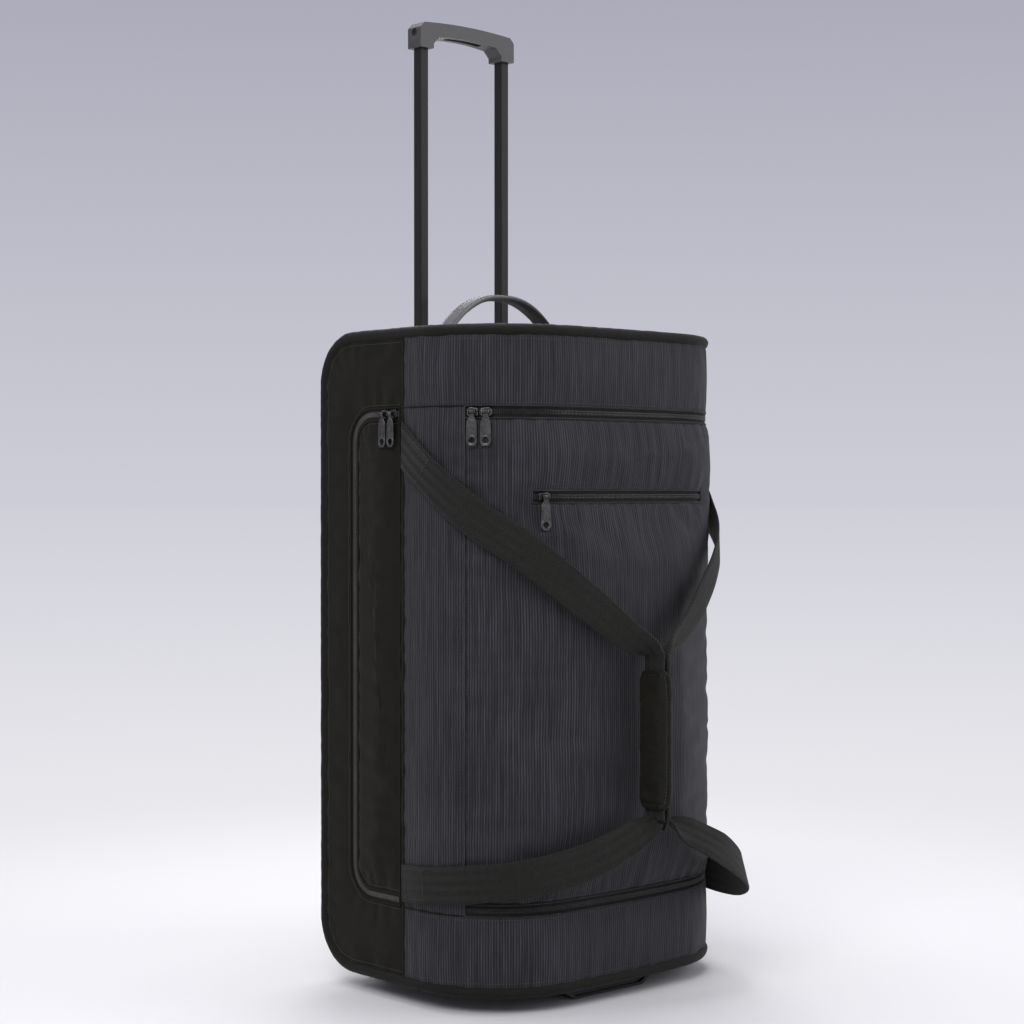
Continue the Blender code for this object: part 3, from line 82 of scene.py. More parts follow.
SEAM_REACH = CORNER_REACH - CORNER_Y
BACK_REACH = CORNER_REACH + BACK - CORNER_Y
HINGE_REACH = -(CORNER_REACH - FRONT_CORNER_RADIUS * math.radians(30))
FLAP_FAR = -HINGE_REACH
ZIP_SLOT = 0.013
ZIP_LOW = BOTTOM + 0.083
ZIP_HIGH = TOP - 0.083
ZIP_CORNER = 0.030
SIDE_ZIP_CORNER = 0.036
SIDE_NEAR = -SEAM_REACH - 0.006
SIDE_FAR = -(BACK_REACH - 0.052)
POCKET_HALF = 0.131
POCKET_Z = TOP - 0.178
ZIP_FACE = 0.001  # the zip's tape lies this far under the fabric
CLOTH_MASS = 0.25
CLOTH_STIFFNESS = 12.0


# ---------------------------------------------------------------- the wall and the strip behind it
def wall_at(reach, inset):
    """Where the wall is, seen from above, and the way it faces, at a reach from the front's middle."""
    side = -1 if reach < 0 else 1
    reach = abs(reach)
    if reach <= FRONT_REACH:
        angle = reach / FRONT_RADIUS
        radius = FRONT_RADIUS - inset
        x = radius * math.sin(angle)
        y = FRONT_CENTRE_Y - radius * math.cos(angle)
    elif reach <= CORNER_REACH:
        angle = FRONT_HALF_ANGLE + (reach - FRONT_REACH) / FRONT_CORNER_RADIUS
        radius = FRONT_CORNER_RADIUS - inset
        x = CORNER_X + radius * math.sin(angle)
        y = CORNER_Y - radius * math.cos(angle)
    else:
        angle = math.pi / 2
        x = WIDTH / 2 - inset
        y = CORNER_Y + reach - CORNER_REACH
    return Vector((side * x, y, 0)), side * angle


def on_wall(u, v, inset):
    """A place on the upright wall, and the way it faces, at a reach u and a height v."""
    place, angle = wall_at(u, inset)
    return Vector((place.x, place.y, v)), Vector((math.sin(angle), -math.cos(angle), 0))


SPINE_STRAIGHT = HEIGHT / 2 - BACK_CORNER_RADIUS
SPINE_TURNED = SPINE_STRAIGHT + BACK_CORNER_RADIUS * math.pi / 2


def on_spine(u, v, inset):
    """On the strip over the top, back and bottom, at a distance v up from the middle of the back."""
    side = -1 if v < 0 else 1
    v = abs(v)
    if v <= SPINE_STRAIGHT:
        y, z, out = BACK - inset, v, (1, 0)
    elif v <= SPINE_TURNED:
        angle = (v - SPINE_STRAIGHT) / BACK_CORNER_RADIUS
        y = BACK - BACK_CORNER_RADIUS + (BACK_CORNER_RADIUS - inset) * math.cos(angle)
        z = SPINE_STRAIGHT + (BACK_CORNER_RADIUS - inset) * math.sin(angle)
        out = (math.cos(angle), math.sin(angle))
    else:
        y = BACK - BACK_CORNER_RADIUS - (v - SPINE_TURNED)
        z, out = HEIGHT / 2 - inset, (0, 1)
    return Vector((u, y, MIDDLE_Z + side * z)), Vector((0, out[0], side * out[1]))


def along_at_y(y):
    """How far up the strip a y of its top or bottom is."""
    return SPINE_TURNED + BACK - BACK_CORNER_RADIUS - y


# ---------------------------------------------------------------- materials
CREASE = 0.0007  # how deep the soft creases of plain cloth show
YARN_TURN = 0.0052


def fed(tree, node, inputs):
    """Sets each input of a node to a value, or joins it to the socket given."""
    for key, value in inputs.items():
        socket = node.inputs[key]
        if isinstance(value, bpy.types.NodeSocket):
            tree.links.new(value, socket)
        else:
            socket.default_value = value


def joined_node(tree, kind, inputs, **settings):
    """A new node, with its settings made and its inputs fed."""
    made = tree.nodes.new(kind)
    for key, value in settings.items():
        setattr(made, key, value)
    fed(tree, made, inputs)
    return made


def calc(tree, operation, first, second=0.0, third=0.0):
    return joined_node(tree, "ShaderNodeMath", {0: first, 1: second, 2: third}, operation=operation).outputs[0]


def blur(tree, place, scale, detail=3.0, roughness=0.55):
    """Soft noise, from 0 to 1."""
    inputs = {"Vector": place, "Scale": scale, "Detail": detail, "Roughness": roughness}
    return joined_node(tree, "ShaderNodeTexNoise", inputs).outputs["Fac"]


def stretched(tree, place, scale):
    return joined_node(tree, "ShaderNodeMapping", {"Vector": place, "Scale": scale}).outputs[0]


def between(tree, share, low, high):
    """A colour from low to high. A colour mix has its colours on inputs 6 and 7 and its result on output 2."""
    inputs = {"Factor": share, 6: (*low, 1), 7: (*high, 1)}
    return joined_node(tree, "ShaderNodeMix", inputs, data_type="RGBA").outputs[2]


def ramp(tree, share, low, high, **settings):
    inputs = {"Value": share, "From Min": low, "From Max": high}
    return joined_node(tree, "ShaderNodeMapRange", inputs, **settings).outputs[0]


def wave(tree, value, pitch):
    """0 to 1 and back once every pitch."""
    turned = calc(tree, "SINE", calc(tree, "MULTIPLY", value, math.tau / pitch))
    return calc(tree, "MULTIPLY_ADD", turned, 0.5, 0.5)


def axes(tree, place):
    return joined_node(tree, "ShaderNodeSeparateXYZ", {0: place}).outputs


def coordinate(tree, kind):
    return joined_node(tree, "ShaderNodeTexCoord", {}).outputs[kind]


def new_look(name, roughness, kind, sheen=0.0, metallic=0.0, specular=0.5):
    """A material, its node tree and shader, and the coordinate of the kind asked for."""
    made = bpy.data.materials.new(name)
    made.use_nodes = True
    tree = made.node_tree
    shader = tree.nodes["Principled BSDF"]
    fed(tree, shader, {"Roughness": roughness, "Metallic": metallic, "Specular IOR Level": specular})
    if sheen:
        fed(tree, shader, {"Sheen Weight": sheen, "Sheen Roughness": 0.45})
    return made, tree, shader, coordinate(tree, kind)


def painted(tree, shader, shade, dark, light, height, depth):
    """Colours the shader from dark to light by the shade, and bumps it by the height."""
    bump = joined_node(tree, "ShaderNodeBump", {"Strength": 1.0, "Distance": depth, "Height": height})
    fed(tree, shader, {"Base Color": between(tree, shade, dark, light), "Normal": bump.outputs[0]})


def ribbed_look(name, dark, light):
    """Fabric with fine upright ribs whose yarn runs lighter and darker in streaks."""
    made, tree, shader, place = new_look(name, 0.6, "UV", sheen=0.05, specular=0.16)
    u, v, _ = axes(tree, place)
    rib = wave(tree, u, 0.0029)
    streak = blur(tree, stretched(tree, place, (330, 11, 1)), 1.0, 4.0, 0.65)
    yarn = ramp(tree, streak, 0.22, 0.74)
    faint = calc(tree, "MULTIPLY", yarn, 0.12)
    shade = calc(tree, "MULTIPLY_ADD", calc(tree, "MULTIPLY", rib, yarn), 0.95, faint)
    patch = blur(tree, place, 9.0, 2.0)
    shade = calc(tree, "MULTIPLY", shade, ramp(tree, patch, -0.35, 0.75))
    height = calc(tree, "MULTIPLY_ADD", streak, 0.5, rib)
    height = calc(tree, "MULTIPLY_ADD", wave(tree, v, 0.0011), 0.18, height)
    painted(tree, shader, shade, dark, light, height, 0.00035)
    return made


def plain_cloth_look(name, dark, light, roughness, pitch, weave, sheen=0.03):
    """A plain weave with soft creases. weave is how deep its threads show."""
    made, tree, shader, place = new_look(name, roughness, "UV", sheen=sheen, specular=0.12)
    u, v, _ = axes(tree, place)
    threads = calc(tree, "MULTIPLY", wave(tree, u, pitch), wave(tree, v, pitch))
    folds = blur(tree, stretched(tree, place, (26, 17, 1)), 1.0, 4.0, 0.6)
    patch = blur(tree, place, 38.0, 5.0, 0.7)
    shade = calc(tree, "MULTIPLY_ADD", threads, 0.4, calc(tree, "MULTIPLY", patch, 0.6))
    height = calc(tree, "MULTIPLY_ADD", threads, weave / CREASE, folds)
    painted(tree, shader, shade, dark, light, height, CREASE)
    return made


def webbing_look(name, dark, light):
    """Woven webbing: slanting yarns that turn back every few millimetres."""
    made, tree, shader, place = new_look(name, 0.64, "UV", sheen=0.05, specular=0.14)
    u, v, _ = axes(tree, place)
    turn = calc(tree, "PINGPONG", u, YARN_TURN)
    yarn = wave(tree, calc(tree, "ADD", v, turn), YARN_TURN / 2)
    edge = calc(tree, "MULTIPLY", wave(tree, u, 2 * YARN_TURN), 0.35)
    patch = blur(tree, stretched(tree, place, (60, 160, 1)), 1.0, 3.0)
    shade = calc(tree, "MULTIPLY_ADD", yarn, 0.6, calc(tree, "MULTIPLY", patch, 0.4))
    painted(tree, shader, shade, dark, light, calc(tree, "ADD", yarn, edge), 0.00055)
    return made


def grained_look(name, dark, light, roughness, grain, depth, metallic=0.0, patch_scale=40.0):
    """Moulded plastic, rubber or coated metal with a fine grain and faint handling marks."""
    made, tree, shader, place = new_look(name, roughness, "Object", metallic=metallic)
    patch = blur(tree, place, patch_scale, 5.0, 0.65)
    painted(tree, shader, ramp(tree, patch, 0.3, 0.75), dark, light, blur(tree, place, grain, 2.0), depth)
    fed(tree, shader, {"Roughness": calc(tree, "MULTIPLY_ADD", patch, 0.22, roughness - 0.11)})
    return made


def brushed_look(name, dark, light, roughness, specular):
    """Coated drawn metal, with faint lines up its length."""
    made, tree, shader, place = new_look(name, roughness, "Object", specular=specular)
    lines = blur(tree, stretched(tree, place, (1800, 1800, 9)), 1.0, 3.0)
    patch = blur(tree, place, 22.0, 4.0)
    shade = calc(tree, "MULTIPLY_ADD", lines, 0.5, calc(tree, "MULTIPLY", patch, 0.5))
    painted(tree, shader, shade, dark, light, lines, 0.00003)
    fed(tree, shader, {"Roughness": calc(tree, "MULTIPLY_ADD", lines, 0.2, roughness - 0.1)})
    return made


RIBBED = ribbed_look("ribbed_fabric", (0.0075, 0.0073, 0.0085), (0.068, 0.0665, 0.0775))
WEBBING = webbing_look("webbing_weave", (0.0056, 0.0057, 0.0046), (0.0212, 0.0212, 0.0180))
SLEEVE = webbing_look("sleeve_weave", (0.0085, 0.0085, 0.0064), (0.0215, 0.0215, 0.0165))
TUBE_METAL = brushed_look("tube_metal", (0.0045, 0.0042, 0.0030), (0.0110, 0.0105, 0.0085), 0.42, 0.22)

# each: name, dark, light, roughness, thread pitch, weave depth
SMOOTH, PIPING, TAPE, LINING, PADDING = (
    plain_cloth_look(*row)
    for row in (
        ("smooth_fabric", (0.0034, 0.0030, 0.0014), (0.0120, 0.0112, 0.0072), 0.66, 0.0008, 0.00012),
        ("piping_fabric", (0.0055, 0.0052, 0.0036), (0.0150, 0.0145, 0.0115), 0.6, 0.0012, 0.0002),
        ("zip_tape_weave", (0.008, 0.0075, 0.007), (0.017, 0.016, 0.015), 0.7, 0.0009, 0.0002),
        ("lining_cloth", (0.038, 0.038, 0.042), (0.062, 0.062, 0.066), 0.8, 0.0035, 0.0002),
        ("padding_cloth", (0.0050, 0.0045, 0.0026), (0.0130, 0.0124, 0.0088), 0.6, 0.0011, 0.0002),
    )
)
HANDLE_CLOTH = plain_cloth_look("handle_cloth", (0.05,) * 3, (0.15,) * 3, 0.45, 0.0014, 0.0003, sheen=0.2)

# each: name, dark, light, roughness, grain, its depth and, for some, how metallic and the scale of its marks
THREAD, COIL, DARK_COIL, GUNMETAL, GRIP_PLASTIC, BASE_PLASTIC, BUTTON_PLASTIC = (
    grained_look(*row)
    for row in (
        ("thread", (0.016, 0.016, 0.015), (0.034, 0.034, 0.032), 0.55, 3000.0, 0.00004),
        ("coil_nylon", (0.038, 0.032, 0.028), (0.085, 0.075, 0.068), 0.4, 2600.0, 0.00003),
        ("dark_coil_nylon", (0.008, 0.0075, 0.0068), (0.024, 0.0225, 0.0205), 0.32, 2600.0, 0.00003),
        ("gunmetal", (0.045, 0.045, 0.044), (0.13, 0.13, 0.127), 0.3, 2400.0, 0.00002, 0.95, 130.0),
        ("grip_plastic", (0.022, 0.022, 0.021), (0.055, 0.055, 0.054), 0.44, 1500.0, 0.00003, 0.0, 26.0),
        ("base_plastic", (0.0115, 0.0115, 0.0105), (0.019, 0.019, 0.018), 0.42, 1300.0, 0.0001),
        ("button_plastic", (0.03,) * 3, (0.045,) * 3, 0.4, 1500.0, 0.00006),
    )
)
TYRE_RUBBER, HUB_PLASTIC, AXLE_STEEL, SCREW_STEEL, BOARD = (
    grained_look(*row)
    for row in (
        ("tyre_rubber", (0.011, 0.011, 0.011), (0.022, 0.022, 0.021), 0.74, 1100.0, 0.00014),
        ("hub_plastic", (0.045, 0.045, 0.046), (0.07, 0.07, 0.071), 0.42, 1400.0, 0.00007),
        ("axle_steel", (0.38, 0.38, 0.37), (0.5, 0.5, 0.49), 0.3, 2000.0, 0.00002, 1.0, 90.0),
        ("screw_steel", (0.035,) * 3, (0.075,) * 3, 0.36, 2000.0, 0.00002, 0.85, 90.0),
        ("board_plastic", (0.016,) * 3, (0.026,) * 3, 0.6, 500.0, 0.0002),
    )
)


# ---------------------------------------------------------------- mesh helpers
def show(name, mesh, body, *looks, slot=None, replaces=(), local=True):
    """One piece on a body. local says that the mesh is still in the bag's own frame."""
    made = scratch_object(mesh, name)
    if local:
        mesh.transform(Matrix.Translation(PLACE))
    if not mesh.materials:
        for look in looks:
            mesh.materials.append(look)
    mesh.shade_smooth()
    mesh.set_sharp_from_angle(angle=math.radians(50))
    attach(made, body)
    if replaces:
        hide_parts(*replaces)
    return made


def scratch_object(data, name="scratch"):
    made = bpy.data.objects.new(name, data)
    bpy.context.scene.collection.objects.link(made)
    return made


def applied(obj):
    """The object's mesh with its modifiers in it."""
    graph = bpy.context.evaluated_depsgraph_get()
    found = obj.evaluated_get(graph)
    return bpy.data.meshes.new_from_object(found, preserve_all_data_layers=True, depsgraph=graph)


def tree_of(mesh):
    """The mesh as something to cast rays at."""
    points = [v.co.copy() for v in mesh.vertices]
    return BVHTree.FromPolygons(points, [tuple(p.vertices) for p in mesh.polygons])


def struck(tree, place, way, off=0.05, reach=0.06):
    """Where a ray meets the piece when it starts this far out from a place and comes back, or None."""
    hit = tree.ray_cast(place + PLACE + way * off, -way, reach)[0]
    return hit - PLACE if hit else None


def circle(radius, count):
    """Flat points round a circle."""
    return [Vector((math.cos(a), math.sin(a))) * radius for a in (math.tau * k / count for k in range(count))]


def with_modifiers(mesh, *steps):
    """The mesh after the modifiers, each given as (type, settings)."""
    made = scratch_object(mesh)
    for kind, settings in steps:
        modifier = made.modifiers.new(kind, kind)
        for key, value in settings.items():
            setattr(modifier, key, value)
    result = applied(made)
    bpy.data.objects.remove(made, do_unlink=True)
    return result


def written(bm, mesh):
    """Puts bm into the mesh, with its faces looking outwards."""
    bmesh.ops.recalc_face_normals(bm, faces=bm.faces)
    if bm.calc_volume(signed=True) < 0:
        bmesh.ops.reverse_faces(bm, faces=bm.faces)
    bm.to_mesh(mesh)
    bm.free()
    return mesh


def rounded(corners, steps=6):
    """A closed outline through (u, v, radius) corners, each rounded by an arc."""
    points = []
    count = len(corners)
    for index, (u, v, radius) in enumerate(corners):
        here = Vector((u, v))
        if radius <= 0:
            points.append(here)
            continue
        before = (Vector(corners[index - 1][:2]) - here).normalized()
        after = (Vector(corners[(index + 1) % count][:2]) - here).normalized()
        half = before.angle(after) / 2
        reach = radius / math.tan(half)
        centre = here + (before + after).normalized() * (radius / math.sin(half))
        start = here + before * reach - centre
        sweep = start.angle_signed(here + after * reach - centre)
        for step in range(steps + 1):
            points.append(centre + Matrix.Rotation(-sweep * step / steps, 2) @ start)
    return points


def filled(outline, holes=(), depth=0.0, edge=0.0, resolution=2):
    """A flat outline as a sheet or, with a depth, as a plate with rounded edges."""
    curve = bpy.data.curves.new("outline", "CURVE")
    curve.dimensions = "2D"
    curve.fill_mode = "BOTH"
    curve.extrude = max(depth / 2 - edge, 0)
    curve.bevel_depth = edge
    curve.bevel_resolution = resolution
    for loop in (outline, *holes):
        spline = curve.splines.new("POLY")
        spline.points.add(len(loop) - 1)
        for point, (u, v) in zip(spline.points, loop):
            point.co = (u, v, 0, 1)
        spline.use_cyclic_u = True
    source = scratch_object(curve)
    mesh = applied(source)
    bpy.data.objects.remove(source, do_unlink=True)
    for layer in list(mesh.uv_layers):
        mesh.uv_layers.remove(layer)
    return mesh


def near_edges(points, loops):
    """For each flat point, how far the nearest edge is, and how far round that edge it is."""
    best = np.full(len(points), 1e9)
    where = np.zeros(len(points))
    travelled = 0.0
    for loop in loops:
        ends = np.array([tuple(p)[:2] for p in loop])
        for a, b in zip(ends, np.roll(ends, -1, axis=0)):
            run = b - a
            length = np.linalg.norm(run)
            if length < 1e-9:
                continue
            share = np.clip((points - a) @ run / length**2, 0, 1)
            away = np.linalg.norm(points - a - share[:, None] * run, axis=1)
            closer = away < best
            best[closer] = away[closer]
            where[closer] = (travelled + share * length)[closer]
            travelled += length
    return best, where


def outwards(mesh, mapping_normals):
    """Turns the mesh over if its faces look the wrong way."""
    mesh.calc_loop_triangles()
    score = 0.0
    for face in list(mesh.polygons)[:: max(len(mesh.polygons) // 200, 1)]:
        score += face.normal.dot(mapping_normals[face.vertices[0]])
    if score < 0:
        mesh.flip_normals()


def settle_cloth(mesh, pinned, frames, pressure, slack, limit=0.012):
    """Lets the cloth swell and pucker between its pinned points, and returns where its points end."""
    made = scratch_object(mesh)
    group = made.vertex_groups.new(name="held")
    for index in np.flatnonzero(pinned > 0):
        group.add([int(index)], float(pinned[index]), "REPLACE")
    modifier = made.modifiers.new("cloth", "CLOTH")
    settings = modifier.settings
    settings.quality = 6
    settings.mass = CLOTH_MASS
    settings.tension_stiffness = CLOTH_STIFFNESS
    settings.compression_stiffness = CLOTH_STIFFNESS
    settings.shear_stiffness = CLOTH_STIFFNESS / 2
    settings.bending_stiffness = 0.6
    settings.vertex_group_mass = "held"
    settings.use_pressure = True
    settings.uniform_pressure_force = pressure
    settings.shrink_min = -slack
    settings.effector_weights.gravity = 0
    modifier.collision_settings.use_collision = False
    modifier.point_cache.frame_start = 1
    modifier.point_cache.frame_end = frames
    scene = bpy.context.scene
    for number in range(1, frames + 1):
        scene.frame_set(number)
    found = made.evaluated_get(bpy.context.evaluated_depsgraph_get()).data
    before, after = (places_of(each) for each in (mesh, found))
    bpy.data.objects.remove(made, do_unlink=True)
    scene.frame_set(1)
    moved = after - before
    length = np.linalg.norm(moved, axis=1, keepdims=True)
    return before + moved * np.minimum(1, limit / np.maximum(length, 1e-9))


def places_of(mesh):
    """The mesh's points as rows of an array."""
    places = np.zeros(len(mesh.vertices) * 3, np.float32)
    mesh.vertices.foreach_get("co", places)
    return places.reshape(-1, 3)


def skin(name, outline, holes, mapping, body, node, looks, swell=0.003, step=0.007, pucker=0.0006,
         wavelength=0.019, sewn=None, cloth=0.0, slack=0.012):
    """A sewn panel: a flat outline cut into a fine grid, wrapped round the body and filled out from inside.

    swell is how far it stands out between its seams, pucker how deep its seam puckers are, cloth the pressure
    in it and slack its spare cloth. sewn holds the lines that it is held down along.
    It returns a tree to cast rays at.
    """
    bm = bmesh.new()
    bm.from_mesh(filled(outline, holes))
    bmesh.ops.remove_doubles(bm, verts=bm.verts, dist=1e-6)
    us = [p[0] for p in outline]
    vs = [p[1] for p in outline]
    for axis, low, high in ((0, min(us), max(us)), (1, min(vs), max(vs))):
        count = int((high - low) / step)
        normal = Vector((1, 0, 0)) if axis == 0 else Vector((0, 1, 0))
        for number in range(1, count):
            place = normal * (low + (high - low) * number / count)
            parts = bm.verts[:] + bm.edges[:] + bm.faces[:]
            bmesh.ops.bisect_plane(bm, geom=parts, dist=1e-5, plane_co=place, plane_no=normal)
    bmesh.ops.remove_doubles(bm, verts=bm.verts, dist=2e-4)
    bmesh.ops.triangulate(bm, faces=bm.faces)
    bmesh.ops.join_triangles(bm, faces=bm.faces, angle_face_threshold=3.2, angle_shape_threshold=3.2)
    bm.normal_update()
    mesh = bpy.data.meshes.new(name)
    bm.to_mesh(mesh)
    bm.free()
    flat = np.array([v.co[:2] for v in mesh.vertices])
    away, round_edge = near_edges(flat, sewn or (outline, *holes))
    uv = mesh.uv_layers.new(name="flat")
    for loop in mesh.loops:
        uv.data[loop.index].uv = flat[loop.vertex_index]
    normals = []
    for index, vert in enumerate(mesh.vertices):
        u, v = flat[index]
        d = away[index]
        seed = Vector((u * 9, v * 9, len(name)))
        lift = swell * (1 - math.exp(-d / 0.030)) * (1 + 0.5 * noise.noise(seed))
        phase = round_edge[index] / wavelength + 1.3 * noise.noise(Vector((round_edge[index] * 22, 0.5, 1.7)))
        fade = math.exp(-((d - 0.010) ** 2) / 0.012**2) + 0.35 * math.exp(-d / 0.05)
        lift += pucker * fade * math.sin(math.tau * phase)
        if d < 0.004:
            lift -= 0.0006 * (1 - d / 0.004)
        place, out = mapping(u, v, -lift)
        vert.co = place
        normals.append(out)
    outwards(mesh, normals)
    if cloth:
        held = np.clip(1.2 - away / 0.006, 0, 1)
        settled = settle_cloth(mesh, held, 18, cloth, slack)
        mesh.vertices.foreach_set("co", settled.astype(np.float32).ravel())
    for look in looks:
        mesh.materials.append(look)
    mesh.update()
    thick = with_modifiers(
        mesh,
        ("SUBSURF", {"levels": 1, "render_levels": 1, "boundary_smooth": "PRESERVE_CORNERS"}),
        ("SOLIDIFY", {"thickness": CLOTH, "offset": -1, "material_offset": 1}),
    )
    show(name, thick, body, replaces=[node])
    return tree_of(thick)


def dense(points, step=0.003):
    """The same line through more points."""
    result = []
    for a, b in zip(points, points[1:]):
        count = max(int((b - a).length / step), 1)
        result += [a.lerp(b, i / count) for i in range(count)]
    return result + [points[-1]]


def rail_on(points, mapping, inset, tree=None):
    """A flat line wrapped round the body: [(place, outward)], lying on a skin if one is given."""
    rail = []
    for u, v in dense([Vector(p) for p in points]):
        place, out = mapping(u, v, inset)
        if tree:
            hit = struck(tree, place, out, 0.02, 0.04)
            if hit:
                place = hit - out * inset
        rail.append((place, out))
    return rail


def scattered(rail, pitch, shape, across=0.0, lift=0.0):
    """A small closed shape repeated along a rail. shape is its points (x along, y across, z out) and its faces."""
    places = np.array([tuple(p) for p, _ in rail])
    outs = np.array([tuple(o) for _, o in rail])
    steps = np.linalg.norm(np.diff(places, axis=0), axis=1)
    travelled = np.concatenate([[0], np.cumsum(steps)])
    at = np.arange(pitch / 2, travelled[-1], pitch)
    centre = np.stack([np.interp(at, travelled, places[:, k]) for k in range(3)], 1)
    ahead = np.stack([np.interp(at + 1e-4, travelled, places[:, k]) for k in range(3)], 1)
    behind = np.stack([np.interp(at - 1e-4, travelled, places[:, k]) for k in range(3)], 1)
    along = ahead - behind
    along /= np.maximum(np.linalg.norm(along, axis=1, keepdims=True), 1e-9)
    out = np.stack([np.interp(at, travelled, outs[:, k]) for k in range(3)], 1)
    out /= np.linalg.norm(out, axis=1, keepdims=True)
    side = np.cross(out, along)
    out = np.cross(along, side)
    points, faces = shape
    points = np.array(points)
    count = len(points)
    spread = (
        centre[:, None]
        + along[:, None] * points[None, :, :1]
        + side[:, None] * (points[None, :, 1:2] + across)
        + out[:, None] * (points[None, :, 2:] + lift)
    )
    all_faces = [[k + i * count for k in face] for i in range(len(at)) for face in faces]
    return spread.reshape(-1, 3), all_faces


def capsule(along, across, high, sides=6):
    """Points and faces of a small rounded bar."""
    points = [(-along / 2, 0, 0)]
    rings = ((-0.36, 0.72), (-0.15, 1.0), (0.15, 1.0), (0.36, 0.72))
    for share, size in rings:
        for k in range(sides):
            angle = math.tau * k / sides
            y, z = math.cos(angle) * size / 2, math.sin(angle) * size / 2
            points.append((share * along, across * y, high * z))
    points.append((along / 2, 0, 0))
    faces = [(0, 1 + (k + 1) % sides, 1 + k) for k in range(sides)]
    for ring in range(len(rings) - 1):
        a, b = 1 + ring * sides, 1 + (ring + 1) * sides
        faces += [(a + k, a + (k + 1) % sides, b + (k + 1) % sides, b + k) for k in range(sides)]
    last = 1 + (len(rings) - 1) * sides
    faces += [(last + k, last + (k + 1) % sides, len(points) - 1) for k in range(sides)]
    return points, faces


def crosswise(shape):
    """The same bar, lying across the rail."""
    points, faces = shape
    return [(y, x, z) for x, y, z in points], [tuple(reversed(face)) for face in faces]


STITCH = capsule(0.0029, 0.0008, 0.0007)
TOOTH = crosswise(capsule(0.0036, 0.0014, 0.0018))
STITCH_PITCH = 0.0037
TOOTH_PITCH = 0.0019


def repeated(name, rails, body, shape, pitch, look, slot, across=0.0, lift=0.0):
    """One piece made of a small shape repeated along several rails."""
    points, faces = [], []
    for rail in rails:
        more, more_faces = scattered(rail, pitch, shape, across, lift)
        start = sum(len(p) for p in points)
        points.append(more)
        faces += [[k + start for k in face] for face in more_faces]
    mesh = bpy.data.meshes.new(name)
    mesh.from_pydata(np.concatenate(points).tolist(), [], faces)
    mesh.update()
    return show(name, mesh, body, look, slot=slot)


def stitches(name, rails, body, lift=0.0001):
    return repeated(name, rails, body, STITCH, STITCH_PITCH, THREAD, "webbing", lift=lift)


def loft(name, rows, closed=False, uv_rows=None):
    """A closed skin through rings of points, capped at its ends, with u round and v along as its flat place."""
    count = len(rows[0])
    points = [tuple(p) for row in rows for p in row]
    faces = []
    total = len(rows) if closed else len(rows) - 1
    for i in range(total):
        a, b = i * count, (i + 1) % len(rows) * count
        faces += [(a + k, a + (k + 1) % count, b + (k + 1) % count, b + k) for k in range(count)]
    if not closed:
        faces += [tuple(reversed(range(count))), tuple(range((len(rows) - 1) * count, len(rows) * count))]
    mesh = bpy.data.meshes.new(name)
    mesh.from_pydata(points, [], faces)
    flat = uv_rows or ring_places(rows)
    uv = mesh.uv_layers.new(name="flat")
    for face in mesh.polygons:
        for loop_index in face.loop_indices:
            row, k = divmod(mesh.loops[loop_index].vertex_index, count)
            uv.data[loop_index].uv = flat[row][k]
    bm = bmesh.new()
    bm.from_mesh(mesh)
    return written(bm, mesh)


def ring_places(rows):
    """For each point of each ring, how far it is round its ring and along the rings."""
    flat = []
    along = 0.0
    for index, row in enumerate(rows):
        if index:
            along += (Vector(row[0]) - Vector(rows[index - 1][0])).length
        around = 0.0
        line = []
        for k, point in enumerate(row):
            if k:
                around += (Vector(point) - Vector(row[k - 1])).length
            line.append((around, along))
        flat.append(line)
    return flat


def tube_rows(points, radius, sides=14, closed=False, rough=0.0, seed=0.0):
    """Rings round a line, turned as little as possible from one to the next."""
    rows = []
    count = len(points)
    normal = None
    for index, here in enumerate(points):
        if closed:
            ahead = (points[(index + 1) % count] - points[index - 1]).normalized()
        else:
            ahead = (points[min(index + 1, count - 1)] - points[max(index - 1, 0)]).normalized()
        if normal is None:
            normal = ahead.orthogonal().normalized()
        normal = (normal - ahead * normal.dot(ahead)).normalized()
        side = ahead.cross(normal)
        row = []
        for k in range(sides):
            angle = math.tau * k / sides
            way = normal * math.cos(angle) + side * math.sin(angle)
            size = radius
            if rough:
                spot = here + way * radius
                size += rough * noise.noise(Vector((spot.x * 150, spot.y * 150, spot.z * 150 + seed)))
                size += rough * 0.7 * noise.noise(Vector((spot.x * 45, spot.y * 45, spot.z * 45 + seed)))
            row.append(here + way * size)
        rows.append(row)
    return rows


# ---------------------------------------------------------------- body panels
def three_edges(near, far, low, high, radius, inset):
    """A rectangle that starts at the near edge, inset and rounded at its far corners."""
    sign = 1 if far > near else -1
    return rounded(
        [
            (near, low + inset, 0),
            (far - sign * inset, low + inset, radius - inset),
            (far - sign * inset, high - inset, radius - inset),
            (near, high - inset, 0),
        ]
    )


def box_corners(x_low, x_high, y_low, y_high):
    """The corners of a flat rectangle, in order."""
    return [Vector(p) for p in ((x_low, y_low), (x_high, y_low), (x_high, y_high), (x_low, y_high))]


def spine_hole(low_box, high_box, back_z):
    """The hole that a moulding leaves in the strip, from its front up or down to a height on the back."""
    near = SPINE_STRAIGHT + BACK_CORNER_RADIUS - back_z
    return box_corners(low_box.x - PLACE.x, high_box.x - PLACE.x, near, along_at_y(low_box.y - PLACE.y))


